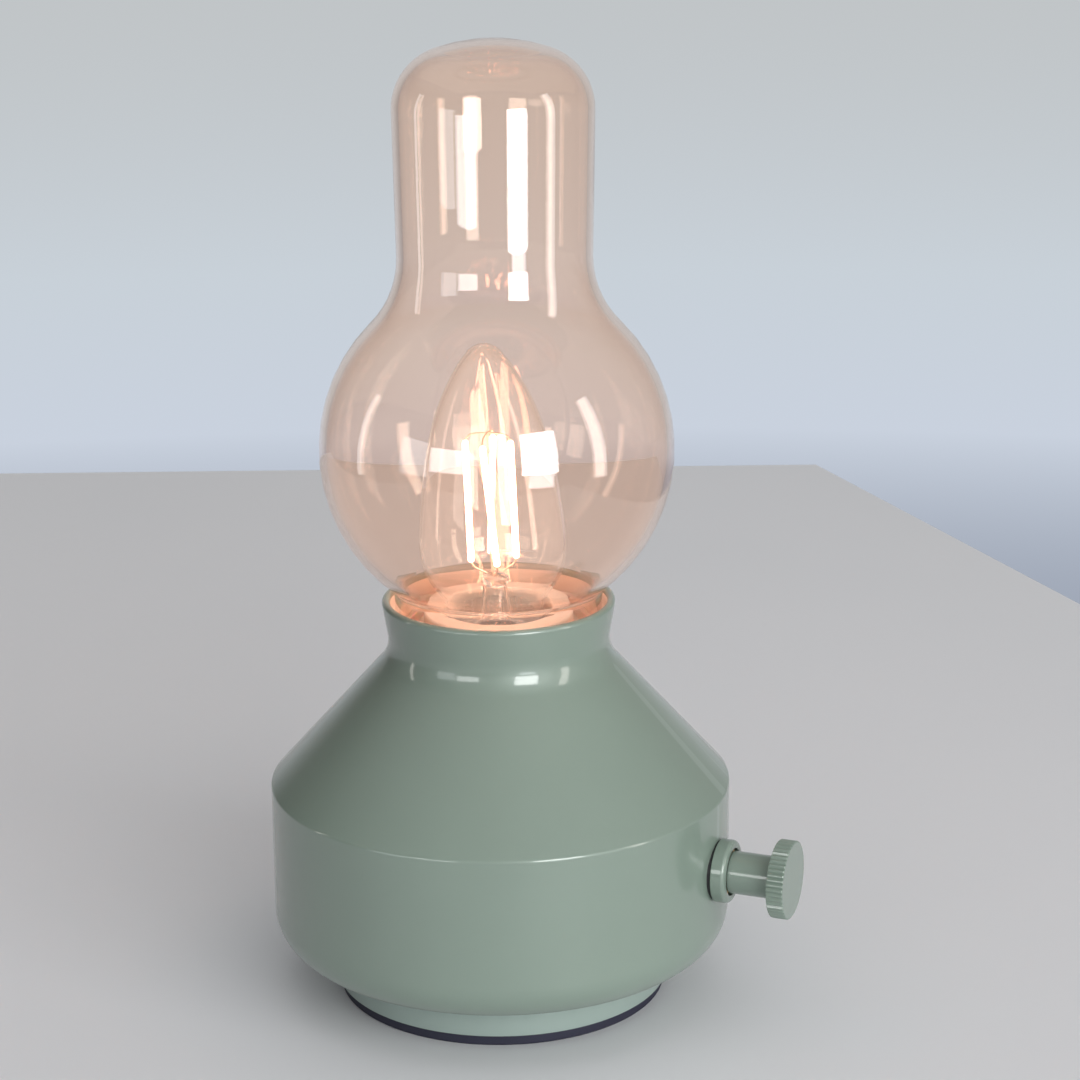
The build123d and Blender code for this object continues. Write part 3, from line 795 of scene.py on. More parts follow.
FINISHES = {
    Slot.SAGE: Enamel("gloss_sage_enamel", (0.192, 0.252, 0.21), (0.27, 0.34, 0.3)),
    Slot.PLINTH: Enamel("satin_sage_plinth", (0.225, 0.295, 0.265), (0.3, 0.37, 0.34), gloss=0.16),
    Slot.FOOT: Plastic("blue_black_foot_rubber", (0.012, 0.013, 0.03), 0.72, depth=0.05 * MM),
    Slot.CREAM: Enamel("cream_enamel_inside_collar", (0.74, 0.67, 0.62), (0.8, 0.75, 0.7), gloss=0.2),
    # in each glass finish the third colour and the number after it are a painted glow, not a lamp
    Slot.ROSE_GLASS: Glass(
        "rose_lustre_glass", (0.975, 0.86, 0.778), (0.98, 0.9, 0.83), (1.0, 0.5, 0.36), 0.025, 0.06 * MM
    ),
    Slot.CLEAR_GLASS: Glass(
        "clear_lamp_glass", (0.99, 0.975, 0.96), (0.98, 0.96, 0.94), (1.0, 0.72, 0.6), 0.04, 0.02 * MM
    ),
    Slot.FILAMENT: Glow("glowing_filament", (1.0, 0.46, 0.33), (1.0, 0.41, 0.28), 16.0),
    Slot.HOLDER: Plastic("ivory_lampholder_plastic", (0.8, 0.72, 0.65), 0.34, depth=0.01 * MM),
    Slot.SILICONE: Plastic("clear_silicone", (0.62, 0.5, 0.42), 0.3, subsurface=0.5),
    Slot.BLACK_RUBBER: Plastic("black_rubber", (0.02, 0.02, 0.022), 0.55),
    Slot.BRASS: Metal("brass", (0.76, 0.53, 0.22), (0.42, 0.27, 0.12), 0.24),
    Slot.NICKEL: Metal("nickel_plate", (0.68, 0.65, 0.6), (0.4, 0.37, 0.33), 0.2),
    Slot.STEEL: Metal("zinc_plated_steel", (0.62, 0.63, 0.64), (0.38, 0.38, 0.38), 0.3),
    Slot.CHASSIS: Plastic("charcoal_chassis_plastic", (0.045, 0.047, 0.05), 0.48),
    Slot.CELL_WRAP: Plastic("blue_cell_wrap", (0.035, 0.16, 0.36), 0.3, depth=0.004 * MM),
    Slot.BOARD: Board("green_circuit_board", (0.012, 0.12, 0.045), (0.05, 0.25, 0.09)),
    Slot.CHIP: Plastic("black_chip_resin", (0.02, 0.02, 0.02), 0.45, grain=0.15 * MM),
    Slot.CONNECTOR: Plastic("white_connector_nylon", (0.78, 0.77, 0.72), 0.42),
    Slot.FOAM: Plastic("grey_foam", (0.12, 0.12, 0.125), 0.95, grain=0.6 * MM, depth=0.25 * MM),
    Slot.WIRE: Plastic("red_wire_insulation", (0.5, 0.025, 0.02), 0.38, depth=0.004 * MM),
    Slot.INSULATOR: Plastic("black_lamp_cap_glass", (0.015, 0.014, 0.016), 0.12, depth=0.004 * MM),
    Slot.THIN_WIRE: Metal("warm_lead_wire", (0.95, 0.78, 0.62), (0.7, 0.5, 0.36), 0.28),
}


class Workshop:
    """Makes each finish once, dresses pieces and reports them."""

    def __init__(self) -> None:
        """Start with no finish made."""
        self.made: dict[Slot, Material] = {}

    def material(self, slot: Slot) -> Material:
        """The material of a slot, made the first time it is asked for."""
        if slot not in self.made:
            self.made[slot] = FINISHES[slot].make()
        return self.made[slot]

    def dress(self, piece: Piece, slot: Slot, body: Body, *nodes: str) -> None:
        """Give a piece its finish, its body and the CAD nodes that it stands for.

        Args:
            piece: The piece.
            slot: The finish's slot.
            body: The body that the piece rides on.
            nodes: The CAD nodes that it replaces.
        """
        piece.data.materials.clear()
        piece.data.materials.append(self.material(slot))
        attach(piece, body.value)
        if nodes:
            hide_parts(*nodes)
        LOG.info("%s rides on %s", piece.name, body.value)

    def dress_frame(self) -> None:
        """Give every CAD node the finish of its own slot."""
        for name, node in frame["nodes"].items():
            for holder in node.material_slots:
                holder.material = self.material(Slot(holder.material.name))
            LOG.info("%s keeps its shape", name)


# ---------------------------------------------------------------- sub-assemblies
@dataclass
class Base:
    """Rubber foot and pressed shell, with the flared collar; the plinth stays as its CAD node."""

    foot_round: float = 0.6 * MM
    foot_groove: float = 0.35 * MM
    groove_in: float = 6.0 * MM
    groove_half: float = 1.5 * MM
    groove_slope: float = 0.5 * MM
    foot_top_round: float = 0.25 * MM
    plinth_in: float = 4.8 * MM
    plinth_out: float = 0.1 * MM
    bead_clear: float = 2.2
    shell_wall: float = 1.0 * MM
    bowl_rise: float = 6.6 * MM
    bowl_round: float = 10.0 * MM
    ridge_z: float = 57.0 * MM
    ridge_round: float = 1.2 * MM
    neck_drop: float = 13.36 * MM
    neck_reach: float = 1.26 * MM
    lip_reach: float = 3.45 * MM
    neck_round: float = 9.5 * MM
    bead_r: float = 1.05 * MM
    bead_turn: float = radians(235)

    def foot(self) -> Piece:
        """The rubber foot, with a shallow ring moulded under its edge."""
        low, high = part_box("foot_pad")
        radius, roof = high.x, low.z + self.foot_groove
        inside, outside = radius - self.groove_in - self.groove_half, radius - self.groove_in + self.groove_half
        outline = rounded([
            (0.0, low.z), (inside - self.groove_slope, low.z), (inside, roof), (outside, roof),
            (outside + self.groove_slope, low.z), (radius, low.z, self.foot_round),
            (radius, high.z, self.foot_top_round), (0.0, high.z),
        ], closed=False)
        return lathe("rubber_foot", outline)

    def shell(self) -> Piece:
        """The pressed shell, with its openings for the dimmer and the charging inlet."""
        low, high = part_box("base_shell")
        plinth_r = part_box("base_plate")[1].x
        skirt_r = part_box("chimney_gasket")[1].x
        lip = Vector((skirt_r + self.lip_reach, high.z))
        neck = Vector((skirt_r + self.neck_reach, high.z - self.neck_drop))
        rise = (lip - neck).normalized()
        lip_end = lip - rise * self.bead_r
        outer = rounded([
            (plinth_r - self.plinth_in, low.z), (plinth_r + self.plinth_out, low.z),
            (high.x, low.z + self.bowl_rise, self.bowl_round), (high.x, self.ridge_z, self.ridge_round),
            (neck.x, neck.y, self.neck_round), tuple(lip_end),
        ], closed=False)
        inner = inset(outer, self.shell_wall)
        side = atan2(-rise.x, rise.y)
        middle = lip_end + Vector((-rise.y, rise.x)) * self.bead_r
        bead = arc(tuple(middle), self.bead_r, side, side + self.bead_turn)
        shoulder_side = [point for point in inner if point[1] < high.z - self.bead_clear * self.bead_r]
        shell = lathe("enamelled_shell", outer[:-1] + bead + shoulder_side[::-1], turns=FINE_TURNS)
        bezel_low, bezel_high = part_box("inlet_bezel")
        width, height = (bezel_high[axis] - bezel_low[axis] + 2 * OPENING_GAP for axis in (0, 2))
        middle = (bezel_low.z + bezel_high.z) / 2
        facing_back = Matrix.Translation((0, 0, middle)) @ Matrix.Rotation(-pi / 2, 4, "X")
        cut(shell, bar("inlet_cutter", slot_outline(width, height), 2 * high.x, facing_back))
        bushing_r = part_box("dimmer_bushing")[1].y + OPENING_GAP
        cut(shell, bar("dimmer_cutter", circle(bushing_r), 2 * high.x, knob_place()))
        return shell

    def build(self, shop: Workshop) -> None:
        """Build and dress the pieces."""
        shop.dress(self.foot(), Slot.FOOT, Body.BASE, "foot_pad")
        shop.dress(self.shell(), Slot.SAGE, Body.BASE, "base_shell")


@dataclass
class Collar:
    """What shows inside the collar: light well, chimney seat, lampholder ring and its threaded sleeve."""

    well_wall: float = 0.6 * MM
    well_in: float = 1.8 * MM
    well_taper: float = 1.41 * MM
    edge_gap: float = 0.02 * MM
    seat_width: float = 2.8 * MM
    seat_round: float = 0.4 * MM
    skirt_wall: float = 1.97 * MM
    mouth_in: float = 5.2 * MM
    rib_count: int = 48
    rib_depth: float = 0.25 * MM
    rib_top: float = 1.2 * MM
    rib_fade: float = 0.1 * MM
    crest_in: float = 1.7 * MM
    sleeve_foot: float = 1.0 * MM
    sleeve_steps: int = 96
    disc_round: float = 0.5 * MM
    step: float = 1.6 * MM
    thread_depth: float = 0.5 * MM
    sleeve_wall: float = 0.5 * MM

    def well(self) -> Piece:
        """The cream light well under the chimney."""
        low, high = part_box("light_well")
        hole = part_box("holder_skirt")[1].x - self.well_in
        floor_r = high.x - self.well_taper
        outer = [(hole, low.z), (floor_r, low.z), (high.x - self.edge_gap, high.z)]
        inner = [
            (high.x - self.well_wall, high.z), (floor_r - self.well_wall, low.z + self.well_wall),
            (hole, low.z + self.well_wall),
        ]
        return lathe("cream_light_well", rounded([*outer, *inner]))

    def seat(self) -> Piece:
        """The silicone ring that the chimney stands on."""
        low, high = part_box("chimney_gasket")
        inner_r = high.x - self.seat_width
        return lathe("chimney_seat", rounded([
            (inner_r, low.z), (high.x, low.z), (high.x, high.z, self.seat_round), (inner_r, high.z, self.seat_round),
        ]))

    def ring(self) -> Piece:
        """The lampholder's screwed ring, with the round mouth that the lamp goes into."""
        low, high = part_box("holder_skirt")
        inner_r = high.x - self.skirt_wall
        mouth = high.x - self.mouth_in
        under, ribs = high.z - self.step, high.z - self.rib_top

        def grip(angle: float, radius: float, height: float) -> float:
            """Finger ribs round the ring's side."""
            on_side = radius > high.x - self.rib_fade and height < ribs
            return -self.rib_depth * (0.5 + 0.5 * cos(self.rib_count * angle)) if on_side else 0.0

        outline = rounded([
            (inner_r, low.z), (high.x, low.z), (high.x, ribs - self.rib_fade), (high.x, ribs + self.rib_fade),
            (high.x, high.z, self.disc_round), (mouth, high.z, self.disc_round), (mouth, under), (inner_r, under),
        ])
        return lathe("lampholder_ring", outline, relief=grip, turns=KNURLED_TURNS)

    def sleeve(self) -> Piece:
        """The threaded brass sleeve."""
        low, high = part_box("holder_sleeve")
        crest = high.x - self.crest_in
        bottom, top = low.z + self.sleeve_foot, high.z
        heights = spread(bottom, top, self.sleeve_steps)
        outline = [(crest + self.sleeve_wall, z) for z in heights] + [(crest, z) for z in heights[::-1]]

        def thread(angle: float, radius: float, height: float) -> float:
            """The round thread, rolled into the whole wall."""
            return -self.thread_depth * thread_wave(angle, height)

        return lathe("threaded_sleeve", outline, relief=thread, turns=SMALL_TURNS)

    def build(self, shop: Workshop) -> None:
        """Build and dress the pieces."""
        shop.dress(self.well(), Slot.CREAM, Body.BASE, "light_well")
        shop.dress(self.seat(), Slot.SILICONE, Body.BASE, "chimney_gasket")
        shop.dress(self.ring(), Slot.HOLDER, Body.BASE, "holder_skirt")
        shop.dress(self.sleeve(), Slot.BRASS, Body.BASE, "holder_sleeve")


@dataclass
class Chimney:
    """The blown glass chimney: a globe that narrows into a domed tube."""

    wall: float = 1.8 * MM
    waist_round: float = 2.5 * MM
    tube_r: float = 24.4 * MM
    tube_top_r: float = 25.3 * MM
    throat_round: float = 24.5 * MM
    dome_r: float = 45.0 * MM
    top_round: float = 15.5 * MM
    globe_up: float = 39.5 * MM

    def outside(self) -> list[Point]:
        """The outer outline, from the skirt up to the axis."""
        low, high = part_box("chimney")
        globe_r, top = high.x, high.z
        skirt_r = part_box("chimney_gasket")[1].x
        globe = Vector((0.0, LIP_Z + self.globe_up))
        dome = Vector((0.0, top - self.dome_r))
        waist = Vector((skirt_r + self.waist_round, 0.0))
        waist.y = globe.y - sqrt((globe_r + self.waist_round) ** 2 - waist.x**2)
        waist_end = atan2(globe.y - waist.y, -waist.x)
        foot = Vector((self.tube_r, globe.y + sqrt(globe_r**2 - self.tube_r**2)))
        shoulder = Vector((self.tube_top_r, dome.y + sqrt(self.dome_r**2 - self.tube_top_r**2)))
        along = (shoulder - foot).normalized()
        out = Vector((along.y, -along.x))
        throat = beside(foot + out * self.throat_round, along, globe, globe_r + self.throat_round)
        bend = beside(foot - out * self.top_round, along, dome, self.dome_r - self.top_round)
        to_globe = atan2(globe.y - throat.y, globe.x - throat.x) % (2 * pi)
        to_tube = atan2(-out.y, -out.x) % (2 * pi)
        side = atan2(out.y, out.x)
        crown = atan2(bend.y - dome.y, bend.x - dome.x)
        return [
            (skirt_r, low.z + self.wall / 2),
            *arc(tuple(waist), self.waist_round, pi, waist_end),
            *arc(tuple(globe), globe_r, waist_end - pi, to_globe - pi)[1:-1],
            *arc(tuple(throat), self.throat_round, to_globe, to_tube),
            *arc(tuple(bend), self.top_round, side, crown),
            *arc(tuple(dome), self.dome_r, crown, pi / 2)[1:],
        ]

    def build(self, shop: Workshop) -> None:
        """Build and dress the chimney."""
        piece = lathe("glass_chimney", blown(self.outside(), self.wall), turns=FINE_TURNS)
        shop.dress(piece, Slot.ROSE_GLASS, Body.CHIMNEY, "chimney")


@dataclass
class Lamp:
    """The clear filament lamp in its screw cap, built upright and leaned as the lampholder holds it.

    The glass's profile is in shares of its radius and height; the stem's flare is in millimetres out and up from
    its foot, and its head in millimetres out and down from its top.
    """

    cap_top_drop: float = 5.3 * MM
    cap_h: float = 27.0 * MM
    thread_r: float = 13.15 * MM
    thread_depth: float = 0.95 * MM
    cap_wall: float = 0.3 * MM
    cap_steps: int = 120
    cap_foot_in: float = 2.2 * MM
    cap_foot_h: float = 2.4 * MM
    cap_rim_h: float = 2.4 * MM
    rim_fade: float = 1.5 * MM
    insulator_low: float = 1.0 * MM
    insulator_high: float = 6.0 * MM
    insulator_r: float = 5.4 * MM
    insulator_round: float = 0.6 * MM
    shoulder_in: float = 2.6 * MM
    shoulder_drop: float = 0.4 * MM
    shoulder_round: float = 0.5 * MM
    insulator_in: float = 2.8 * MM
    glass_in_cap: float = 2.8 * MM
    neck_end: float = 1.5 * MM
    glass_profile: tuple[Point, ...] = ((0.93, 0.15), (1.0, 0.38), (0.80, 0.68), (0.42, 0.91))
    glass_steps: int = 110
    glass_h: float = 71.5 * MM
    glass_r: float = 18.5 * MM
    glass_wall: float = 0.8 * MM
    neck_r: float = 12.3 * MM
    stem_h: float = 12.0 * MM
    stem_wall: float = 0.7 * MM
    pinch_h: float = 4.0 * MM
    pinch_from: float = 7.0 * MM
    pinch_fade: float = 3.5 * MM
    pinch: float = 0.38
    ripple: float = 0.06
    stem_in_cap: float = 2.6 * MM
    flare_gap: float = 0.25 * MM
    stem_flare: tuple[Point, ...] = ((7.2, 1.5), (4.3, 4.4), (3.5, 8.0))
    stem_head: tuple[Point, ...] = ((3.3, 3.6), (3.6, 1.6), (2.4, 0.3))
    stem_steps: int = 70
    filament_r: float = 0.85 * MM
    filament_h: float = 34.0 * MM
    filament_ring: float = 5.8 * MM
    filament_tilt: float = radians(4)
    filament_count: int = 4
    first_filament: float = radians(20)
    filament_up: float = 2.0 * MM
    filament_ends: float = 2.0 * MM
    wire_r: float = 0.22 * MM
    hub_drop: float = 1.5 * MM
    hub_rise: float = 0.9 * MM
    knee: float = 0.55
    knee_rise: float = 0.6 * MM
    crook: float = 0.5
    lap: float = 0.06
    bow: tuple[float, float, float] = (0.9 * MM, -0.5 * MM, 0.0)
    swell: float = 1.6
    mast_top: float = 0.3
    mast_share: float = 0.8

    def __post_init__(self) -> None:
        """Work out the lean and the main heights."""
        joint = next(joint for joint in frame["joints"] if joint["name"] == "bulb_turn")
        pivot = Matrix.Translation(joint["pos_m"])
        lean = Vector((0, 0, 1)).rotation_difference(Vector(joint["axis"])).to_matrix().to_4x4()
        self.place = pivot @ lean @ pivot.inverted()
        self.cap_top = LIP_Z - self.cap_top_drop
        self.eyelet_z = self.cap_top - self.cap_h
        self.stem_top = self.cap_top + self.stem_h
        self.filament_z = self.stem_top + self.filament_up
        self.filament_top = self.filament_z + self.filament_h

    def glass_line(self) -> list[Point]:
        """The bulb's outer outline, from its neck up to its tip."""
        top, tall, wide = self.cap_top, self.glass_h, self.glass_r
        return smooth_through([
            (self.neck_r, top - self.glass_in_cap), (self.neck_r, top + self.neck_end),
            *((wide * out, top + tall * up) for out, up in self.glass_profile), (0.0, top + tall),
        ], (0.0, 1.0), (-1.0, 0.0), self.glass_steps)

    def glass(self) -> Piece:
        """The clear candle-shaped glass."""
        return lathe("lamp_glass", blown(self.glass_line(), self.glass_wall), self.place)

    def cap(self) -> Piece:
        """The rolled screw cap."""
        bottom, top = self.eyelet_z + self.insulator_high, self.cap_top
        heights = spread(bottom, top, self.cap_steps)
        foot_r = self.thread_r - self.cap_foot_in

        def reach(height: float) -> float:
            """The cap's radius before its thread."""
            share = within((height - bottom) / self.cap_foot_h)
            return foot_r + (self.thread_r - foot_r) * share

        def thread(angle: float, radius: float, height: float) -> float:
            """The rolled thread, fading out below the cap's plain rim."""
            fade = within((top - self.cap_rim_h - height) / self.rim_fade) * within((height - bottom) / self.cap_foot_h)
            return -self.thread_depth * fade * thread_wave(angle, height)

        outline = [(reach(z), z) for z in heights] + [(reach(z) - self.cap_wall, z) for z in heights[::-1]]
        return lathe("screw_cap", outline, self.place, thread, MEDIUM_TURNS)

    def insulator(self) -> Piece:
        """The black glass under the cap."""
        low, high = self.eyelet_z + self.insulator_low, self.eyelet_z + self.insulator_high
        return lathe("cap_insulator", rounded([
            (0.0, low), (self.insulator_r, low, self.insulator_round),
            (self.thread_r - self.shoulder_in, high - self.shoulder_drop, self.shoulder_round),
            (self.thread_r - self.insulator_in, high), (0.0, high),
        ], closed=False), self.place, turns=SMALL_TURNS)

    def stem(self) -> Piece:
        """The glass stem, flared where it joins the neck and pinched flat round the wires at its top."""
        low, top = self.cap_top - self.stem_in_cap, self.stem_top
        outline = smooth_through([
            (self.neck_r - self.glass_wall - self.flare_gap, low),
            *((out * MM, low + up * MM) for out, up in self.stem_flare),
            *((out * MM, top - down * MM) for out, down in self.stem_head), (0.0, top),
        ], (-1.0, 0.2), (-1.0, 0.0), self.stem_steps)

        def pinch(angle: float, radius: float, height: float) -> float:
            """Flattens the upper stem between the maker's tongs."""
            share = within((height - low - self.pinch_from) / self.pinch_fade)
            return -radius * share * (self.pinch * sin(angle) ** 2 + self.ripple * sin(3 * angle + height / MM))

        bore = [point for point in inset(outline, self.stem_wall) if point[1] < top - self.pinch_h]
        outline += [(0.0, top - self.pinch_h), *bore[::-1]]
        return lathe("glass_stem", outline, self.place, pinch, SMALL_TURNS)

    def filament_line(self, index: int) -> tuple[Vector, Vector]:
        """The lower and upper ends of one filament."""
        angle = self.first_filament + 2 * pi * index / self.filament_count
        out = Vector((cos(angle), sin(angle), 0.0))
        across = Vector((-sin(angle), cos(angle), 0.0))
        middle = Vector((0, 0, self.filament_z + self.filament_h / 2)) + out * self.filament_ring
        half = (across * -sin(self.filament_tilt) + Vector((0, 0, cos(self.filament_tilt)))) * self.filament_h / 2
        return middle - half, middle + half

    def filaments(self) -> Piece:
        """The glowing filaments, as one piece."""
        rods = []
        for index in range(self.filament_count):
            low, high = self.filament_line(index)
            length = (high - low).length - self.filament_ends
            stand = Vector((0, 0, 1)).rotation_difference(high - low).to_matrix().to_4x4()
            place = self.place @ Matrix.Translation(low.lerp(high, 0.5)) @ stand
            half, radius = length / 2, self.filament_r
            outline = [
                (0.0, -half), *arc((0.0, radius - half), radius, -pi / 2, 0.0)[1:],
                *arc((0.0, half - radius), radius, 0.0, pi / 2)[:-1], (0.0, half),
            ]
            rods.append(lathe("filament_rod", outline, place, turns=ROD_TURNS))
        return join("filaments", rods)

    def wires(self) -> Piece:
        """Lead wires from the stem to the filaments' feet, tie wires from their tops to a point above them, and two
        middle wires.
        """
        strands = []
        hub_low = Vector((0, 0, self.stem_top - self.hub_drop))
        hub_high = Vector((0, 0, self.filament_top + self.hub_rise))
        for index in range(self.filament_count):
            low, high = self.filament_line(index)
            knee = Vector((low.x * self.knee, low.y * self.knee, self.stem_top + self.knee_rise))
            strands.append(wire("lead", [hub_low, knee, low, low.lerp(high, self.lap)], self.wire_r, self.place))
            crook = Vector((high.x * self.crook, high.y * self.crook, hub_high.z))
            strands.append(wire("tie", [high.lerp(low, self.lap), high, crook, hub_high], self.wire_r, self.place))
        mid = hub_low.lerp(hub_high, 0.5)
        for side in (-1, 1):
            bow = Vector(self.bow) * side
            strands.append(wire("mast", [
                hub_low + bow, mid + bow * self.swell, hub_high.lerp(mid, self.mast_top) + bow, hub_high,
            ], self.wire_r * self.mast_share, self.place))
        return join("filament_wires", strands)

    def build(self, shop: Workshop) -> None:
        """Build and dress the pieces."""
        shop.dress(self.glass(), Slot.CLEAR_GLASS, Body.BULB, "bulb_glass")
        shop.dress(self.cap(), Slot.NICKEL, Body.BULB, "bulb_cap")
        shop.dress(self.insulator(), Slot.INSULATOR, Body.BULB, "bulb_insulator")
        shop.dress(self.stem(), Slot.CLEAR_GLASS, Body.BULB, "bulb_stem")
        shop.dress(self.filaments(), Slot.FILAMENT, Body.BULB, "bulb_filaments")
        shop.dress(self.wires(), Slot.THIN_WIRE, Body.BULB, "bulb_wires")


def knob_place() -> Matrix:
    """Turns a piece made along Z to lie along the dimmer's axis."""
    return Matrix.Translation((0, 0, AXIS_Z)) @ Matrix.Rotation(pi / 2, 4, "Y")


@dataclass
class Dimmer:
    """The dimmer's collar on the wall and the knurled knob."""

    collar_round: float = 1.2 * MM
    collar_edge: float = 0.25 * MM
    stem_r: float = 5.5 * MM
    stem_gap: float = 0.6 * MM
    stem_round: float = 0.3 * MM
    shelf_h: float = 1.0 * MM
    disc_len: float = 4.4 * MM
    disc_round: float = 0.45 * MM
    knurl_count: int = 48
    knurl_depth: float = 0.52 * MM
    bore_r: float = 3.03 * MM
    bore_depth: float = 12.9 * MM
    root_round: float = 0.5 * MM
    screw_r: float = 1.53 * MM

    def collar(self) -> Piece:
        """The ring that stands on the wall round the knob's stem."""
        low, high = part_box("knob_collar")
        radius = high.y
        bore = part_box("dimmer_bushing")[1].y + OPENING_GAP
        recess = self.stem_r + self.stem_gap
        shelf = low.x + self.shelf_h
        return lathe("dimmer_collar", rounded([
            (bore, low.x), (radius, low.x, self.collar_edge), (radius, high.x, self.collar_round),
            (recess, high.x, self.collar_edge), (recess, shelf), (bore, shelf),
        ]), knob_place(), turns=MEDIUM_TURNS)

    def knurled(self, angle: float, radius: float, height: float) -> float:
        """What the knurl's grooves take off a point of the disc."""
        pitch = 2 * pi / self.knurl_count
        off_groove = abs((angle + pitch / 2) % pitch - pitch / 2) * KNOB_R
        groove = max(0.0, self.knurl_depth - off_groove)
        return min(0.0, KNOB_R - groove - radius)

    def knob(self) -> Piece:
        """The knob: a round stem and a knurled disc."""
        low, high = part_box("knob")
        back = high.x - self.disc_len
        outline = rounded([
            (0.0, low.x + self.bore_depth), (self.bore_r, low.x + self.bore_depth), (self.bore_r, low.x),
            (self.stem_r, low.x, self.stem_round), (self.stem_r, back, self.root_round),
            (KNOB_R, back, self.disc_round), (KNOB_R, high.x, self.disc_round), (0.0, high.x),
        ], closed=False)
        knob = lathe("knurled_knob", outline, knob_place(), self.knurled, KNURLED_TURNS)
        screw_low, screw_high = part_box("knob_screw")
        middle = (screw_low + screw_high) / 2
        drop = Matrix.Translation((middle.x, 0, AXIS_Z)) @ Matrix.Rotation(pi, 4, "X")
        cut(knob, bar("screw_cutter", circle(self.screw_r), 2 * self.stem_r, drop))
        return knob

    def build(self, shop: Workshop) -> None:
        """Build and dress the pieces."""
        shop.dress(self.collar(), Slot.SAGE, Body.BASE, "knob_collar")
        shop.dress(self.knob(), Slot.SAGE, Body.DIMMER, "knob")


# ---------------------------------------------------------------- studio
class Use(Enum):
    """What a light is for."""

    SHINE = "reflections only"
    SHADE = "shading only"


def hang(light: bpy.types.Light, name: str, place: tuple[float, float, float]) -> Piece:
    """Hang a light that the camera does not see.

    Args:
        light: The light's data.
        name: The light's name.
        place: Where it hangs.

    Returns:
        The light's object, facing down.
    """
    lamp = bpy.data.objects.new(name, light)
    lamp.location = place
    lamp.visible_camera = False
    bpy.context.scene.collection.objects.link(lamp)
    return lamp


@dataclass
class Window:
    """A soft rectangular light, placed by its bearing from the camera's side.

    Bearings run from 0 towards the camera to positive on its right, and heights are angles up from the
    lantern's middle, all in degrees.
    """

    name: str
    left: float
    right: float
    low: float
    high: float
    radiance: float
    colour: Colour
    use: Use = Use.SHINE
    distance: float = 2.4
    middle_z: float = 0.13

    def build(self, facing: float) -> None:
        """Hang the light so that it looks at the lantern.

        Args:
            facing: Bearing of the camera from the lantern's axis, in radians.
        """
        towards = facing + radians((self.left + self.right) / 2)
        width = 2 * self.distance * tan(radians(self.right - self.left) / 2)
        bottom, top = (self.middle_z + self.distance * tan(radians(angle)) for angle in (self.low, self.high))
        light = bpy.data.lights.new(self.name, "AREA")
        light.shape = "RECTANGLE"
        light.size, light.size_y = width, top - bottom
        light.energy = self.radiance * pi * light.size * light.size_y
        light.color = self.colour
        place = (self.distance * sin(towards), -self.distance * cos(towards), (bottom + top) / 2)
        lamp = hang(light, self.name, place)
        lamp.rotation_euler = (pi / 2, 0.0, towards)
        lamp.visible_glossy = lamp.visible_transmission = self.use is Use.SHINE
        lamp.visible_diffuse = self.use is Use.SHADE


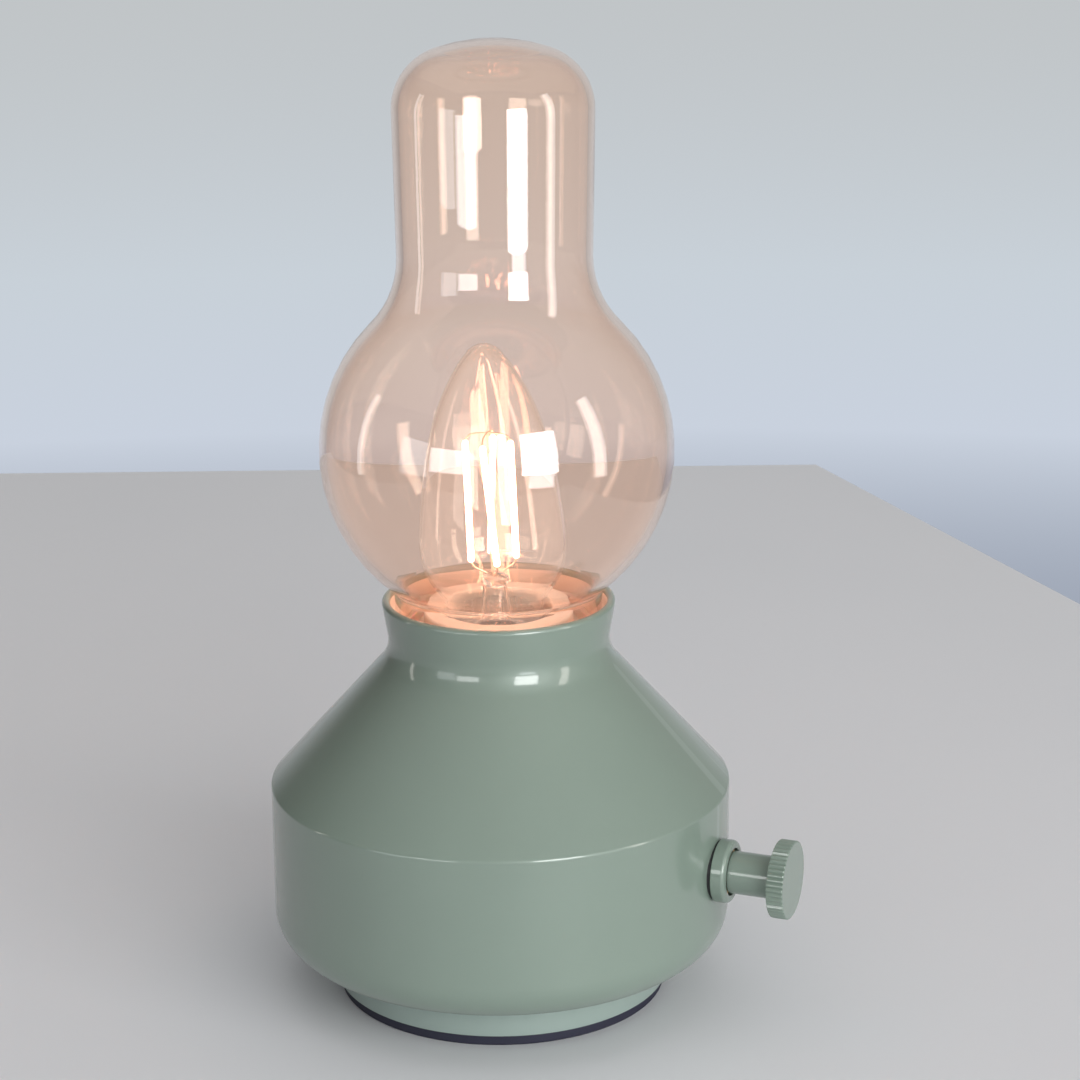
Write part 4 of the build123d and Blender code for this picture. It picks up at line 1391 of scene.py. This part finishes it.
@dataclass
class Studio:
    """Camera, pale table, soft surroundings and window lights."""

    bearing: float = radians(22.4)
    camera_out: float = 688.57 * MM
    camera_up: float = 318.91 * MM
    pitch: float = 0.27986
    yaw: float = 0.015675
    roll: float = -0.0070214
    sensor: float = 36.0
    lens: float = 93.115
    table_back: float = 540 * MM
    table_left: float = 620 * MM
    table_near: float = 520 * MM
    table_right: float = 520 * MM
    table_thick: float = 24 * MM
    corner_right: float = 145 * MM
    paler_through: float = 0.5
    sky_size: float = 2.4
    sky_power: float = 9.0
    sky_place: tuple[float, float, float] = (0.3, 0.0, 2.2)
    table_colours: tuple[Colour, Colour] = ((0.72, 0.73, 0.755), (0.76, 0.765, 0.785))
    wall_stops: tuple[tuple[float, Colour], ...] = (
        (0.0, (0.34, 0.38, 0.46)), (0.22, (0.585, 0.64, 0.73)), (0.55, (0.58, 0.635, 0.69)), (1.0, (0.53, 0.555, 0.57)),
    )
    side_colours: tuple[Colour, Colour] = ((0.085, 0.075, 0.07), (0.3, 0.29, 0.28))
    ceiling_colour: Colour = (0.42, 0.42, 0.42)

    def camera(self) -> None:
        """Set the camera where it looks down at the lantern from the front."""
        data = bpy.data.cameras.new("camera")
        data.sensor_width, data.lens = self.sensor, self.lens
        data.clip_start, data.clip_end = 0.02, 50.0
        eye = bpy.data.objects.new("camera", data)
        place = Matrix.Translation((0, -self.camera_out, self.camera_up))
        aim = Matrix.Rotation(-self.yaw, 4, "Z") @ Matrix.Rotation(pi / 2 - self.pitch, 4, "X")
        tilt = Matrix.Rotation(self.roll, 4, "Z")
        eye.matrix_world = Matrix.Rotation(self.bearing, 4, "Z") @ place @ aim @ tilt
        bpy.context.scene.collection.objects.link(eye)
        bpy.context.scene.camera = eye

    def table(self) -> None:
        """Lay the pale satin table top."""
        back, near, left = self.table_back, self.table_near, self.table_left
        outline = [(-left, -near), (self.table_right, -near), (self.corner_right, back), (-left, back)]
        place = Matrix.Rotation(self.bearing, 4, "Z") @ Matrix.Translation((0, 0, -self.table_thick))
        top = bar("table_top", outline, self.table_thick, place)
        shader = Shader(bpy.data.materials.new("pale_satin_table"))
        cloud = shader.noise(180 * MM, 3.0)
        weave = shader.noise(1.1 * MM, 2.0)
        paint = shader.mix(*self.table_colours, cloud)
        top.data.materials.append(shader.coat(
            Base_Color=paint, Roughness=0.62 + weave * 0.05, Specular_IOR_Level=0.12,
            Normal=shader.bump(weave, 0.01 * MM, 0.25),
        ))

    def surroundings(self) -> None:
        """Paint a room with a pale wall behind, and dimmer where it lights and shines in the lantern."""
        world = bpy.data.worlds.new("room")
        bpy.context.scene.world = world
        room = Shader(world)
        way = room.node("ShaderNodeTexCoord", output="Generated")
        behind = (-sin(self.bearing), cos(self.bearing), 0.0)
        rightward = (cos(self.bearing), sin(self.bearing), 0.0)
        height = room.node("ShaderNodeSeparateXYZ", inputs={0: way}, output="Z")
        wall = room.node(
            "ShaderNodeValToRGB",
            {"stops": self.wall_stops},
            {"Fac": room.ramp(height, -0.31, -0.07)},
        )
        sides = room.mix(*self.side_colours, room.ramp(room.dot(way, rightward), -0.6, 0.8))
        near = room.mix(sides, wall, room.ramp(room.dot(way, behind), 0.72, 0.96))
        ceiling = room.mix(near, self.ceiling_colour, room.ramp(height, 0.35, 0.8))
        seen = room.ray("Camera")
        backdrop = room.mix(ceiling, wall, seen.math("MAXIMUM", seen, room.ray("Transmission") * self.paler_through))
        light = room.node("ShaderNodeBackground", inputs={"Color": backdrop, "Strength": 1.0})
        room.finish(light, "ShaderNodeOutputWorld")

    def lights(self) -> None:
        """Hang the window lights and one broad soft light overhead."""
        cool, plain, warm = (0.93, 0.97, 1.0), (1.0, 1.0, 1.0), (1.0, 0.93, 0.87)
        for window in (
            Window("right_window", 15, 38, -2, 23, 13.0, plain, distance=0.62),
            Window("right_window_low", 20, 36, -12, -3, 7.0, cool),
            Window("left_window", -42, -20, -1, 13, 6.5, plain, distance=0.62),
            Window("far_left_window", -64, -45, -6, 14, 2.6, cool),
            Window("right_slit", 64, 73, -10, 33, 6.0, warm),
            Window("left_slit", -99, -95, -12, 24, 4.0, warm),
            Window("key", 5, 62, -3, 32, 4.6, plain, Use.SHADE),
            Window("front_low", -12, 28, -2, 9, 1.6, cool, Use.SHADE),
            Window("fill", -55, 0, -2, 30, 0.55, cool, Use.SHADE),
        ):
            window.build(self.bearing)
        sky = bpy.data.lights.new("overhead", "AREA")
        sky.size, sky.energy = self.sky_size, self.sky_power
        lamp = hang(sky, "overhead", self.sky_place)
        lamp.visible_glossy = lamp.visible_transmission = False

    def build(self) -> None:
        """Set up the whole studio."""
        self.camera()
        self.table()
        self.surroundings()
        self.lights()
        bpy.context.scene.view_settings.view_transform = "Standard"


def main() -> None:
    """Build the lantern's pieces in order, then the studio."""
    logging.basicConfig(level=logging.INFO, format="%(name)s: %(message)s")
    shop = Workshop()
    shop.dress_frame()
    for assembly in (Base(), Collar(), Chimney(), Lamp(), Dimmer()):
        assembly.build(shop)
    Studio().build()


if __name__ == "__main__":
    main()
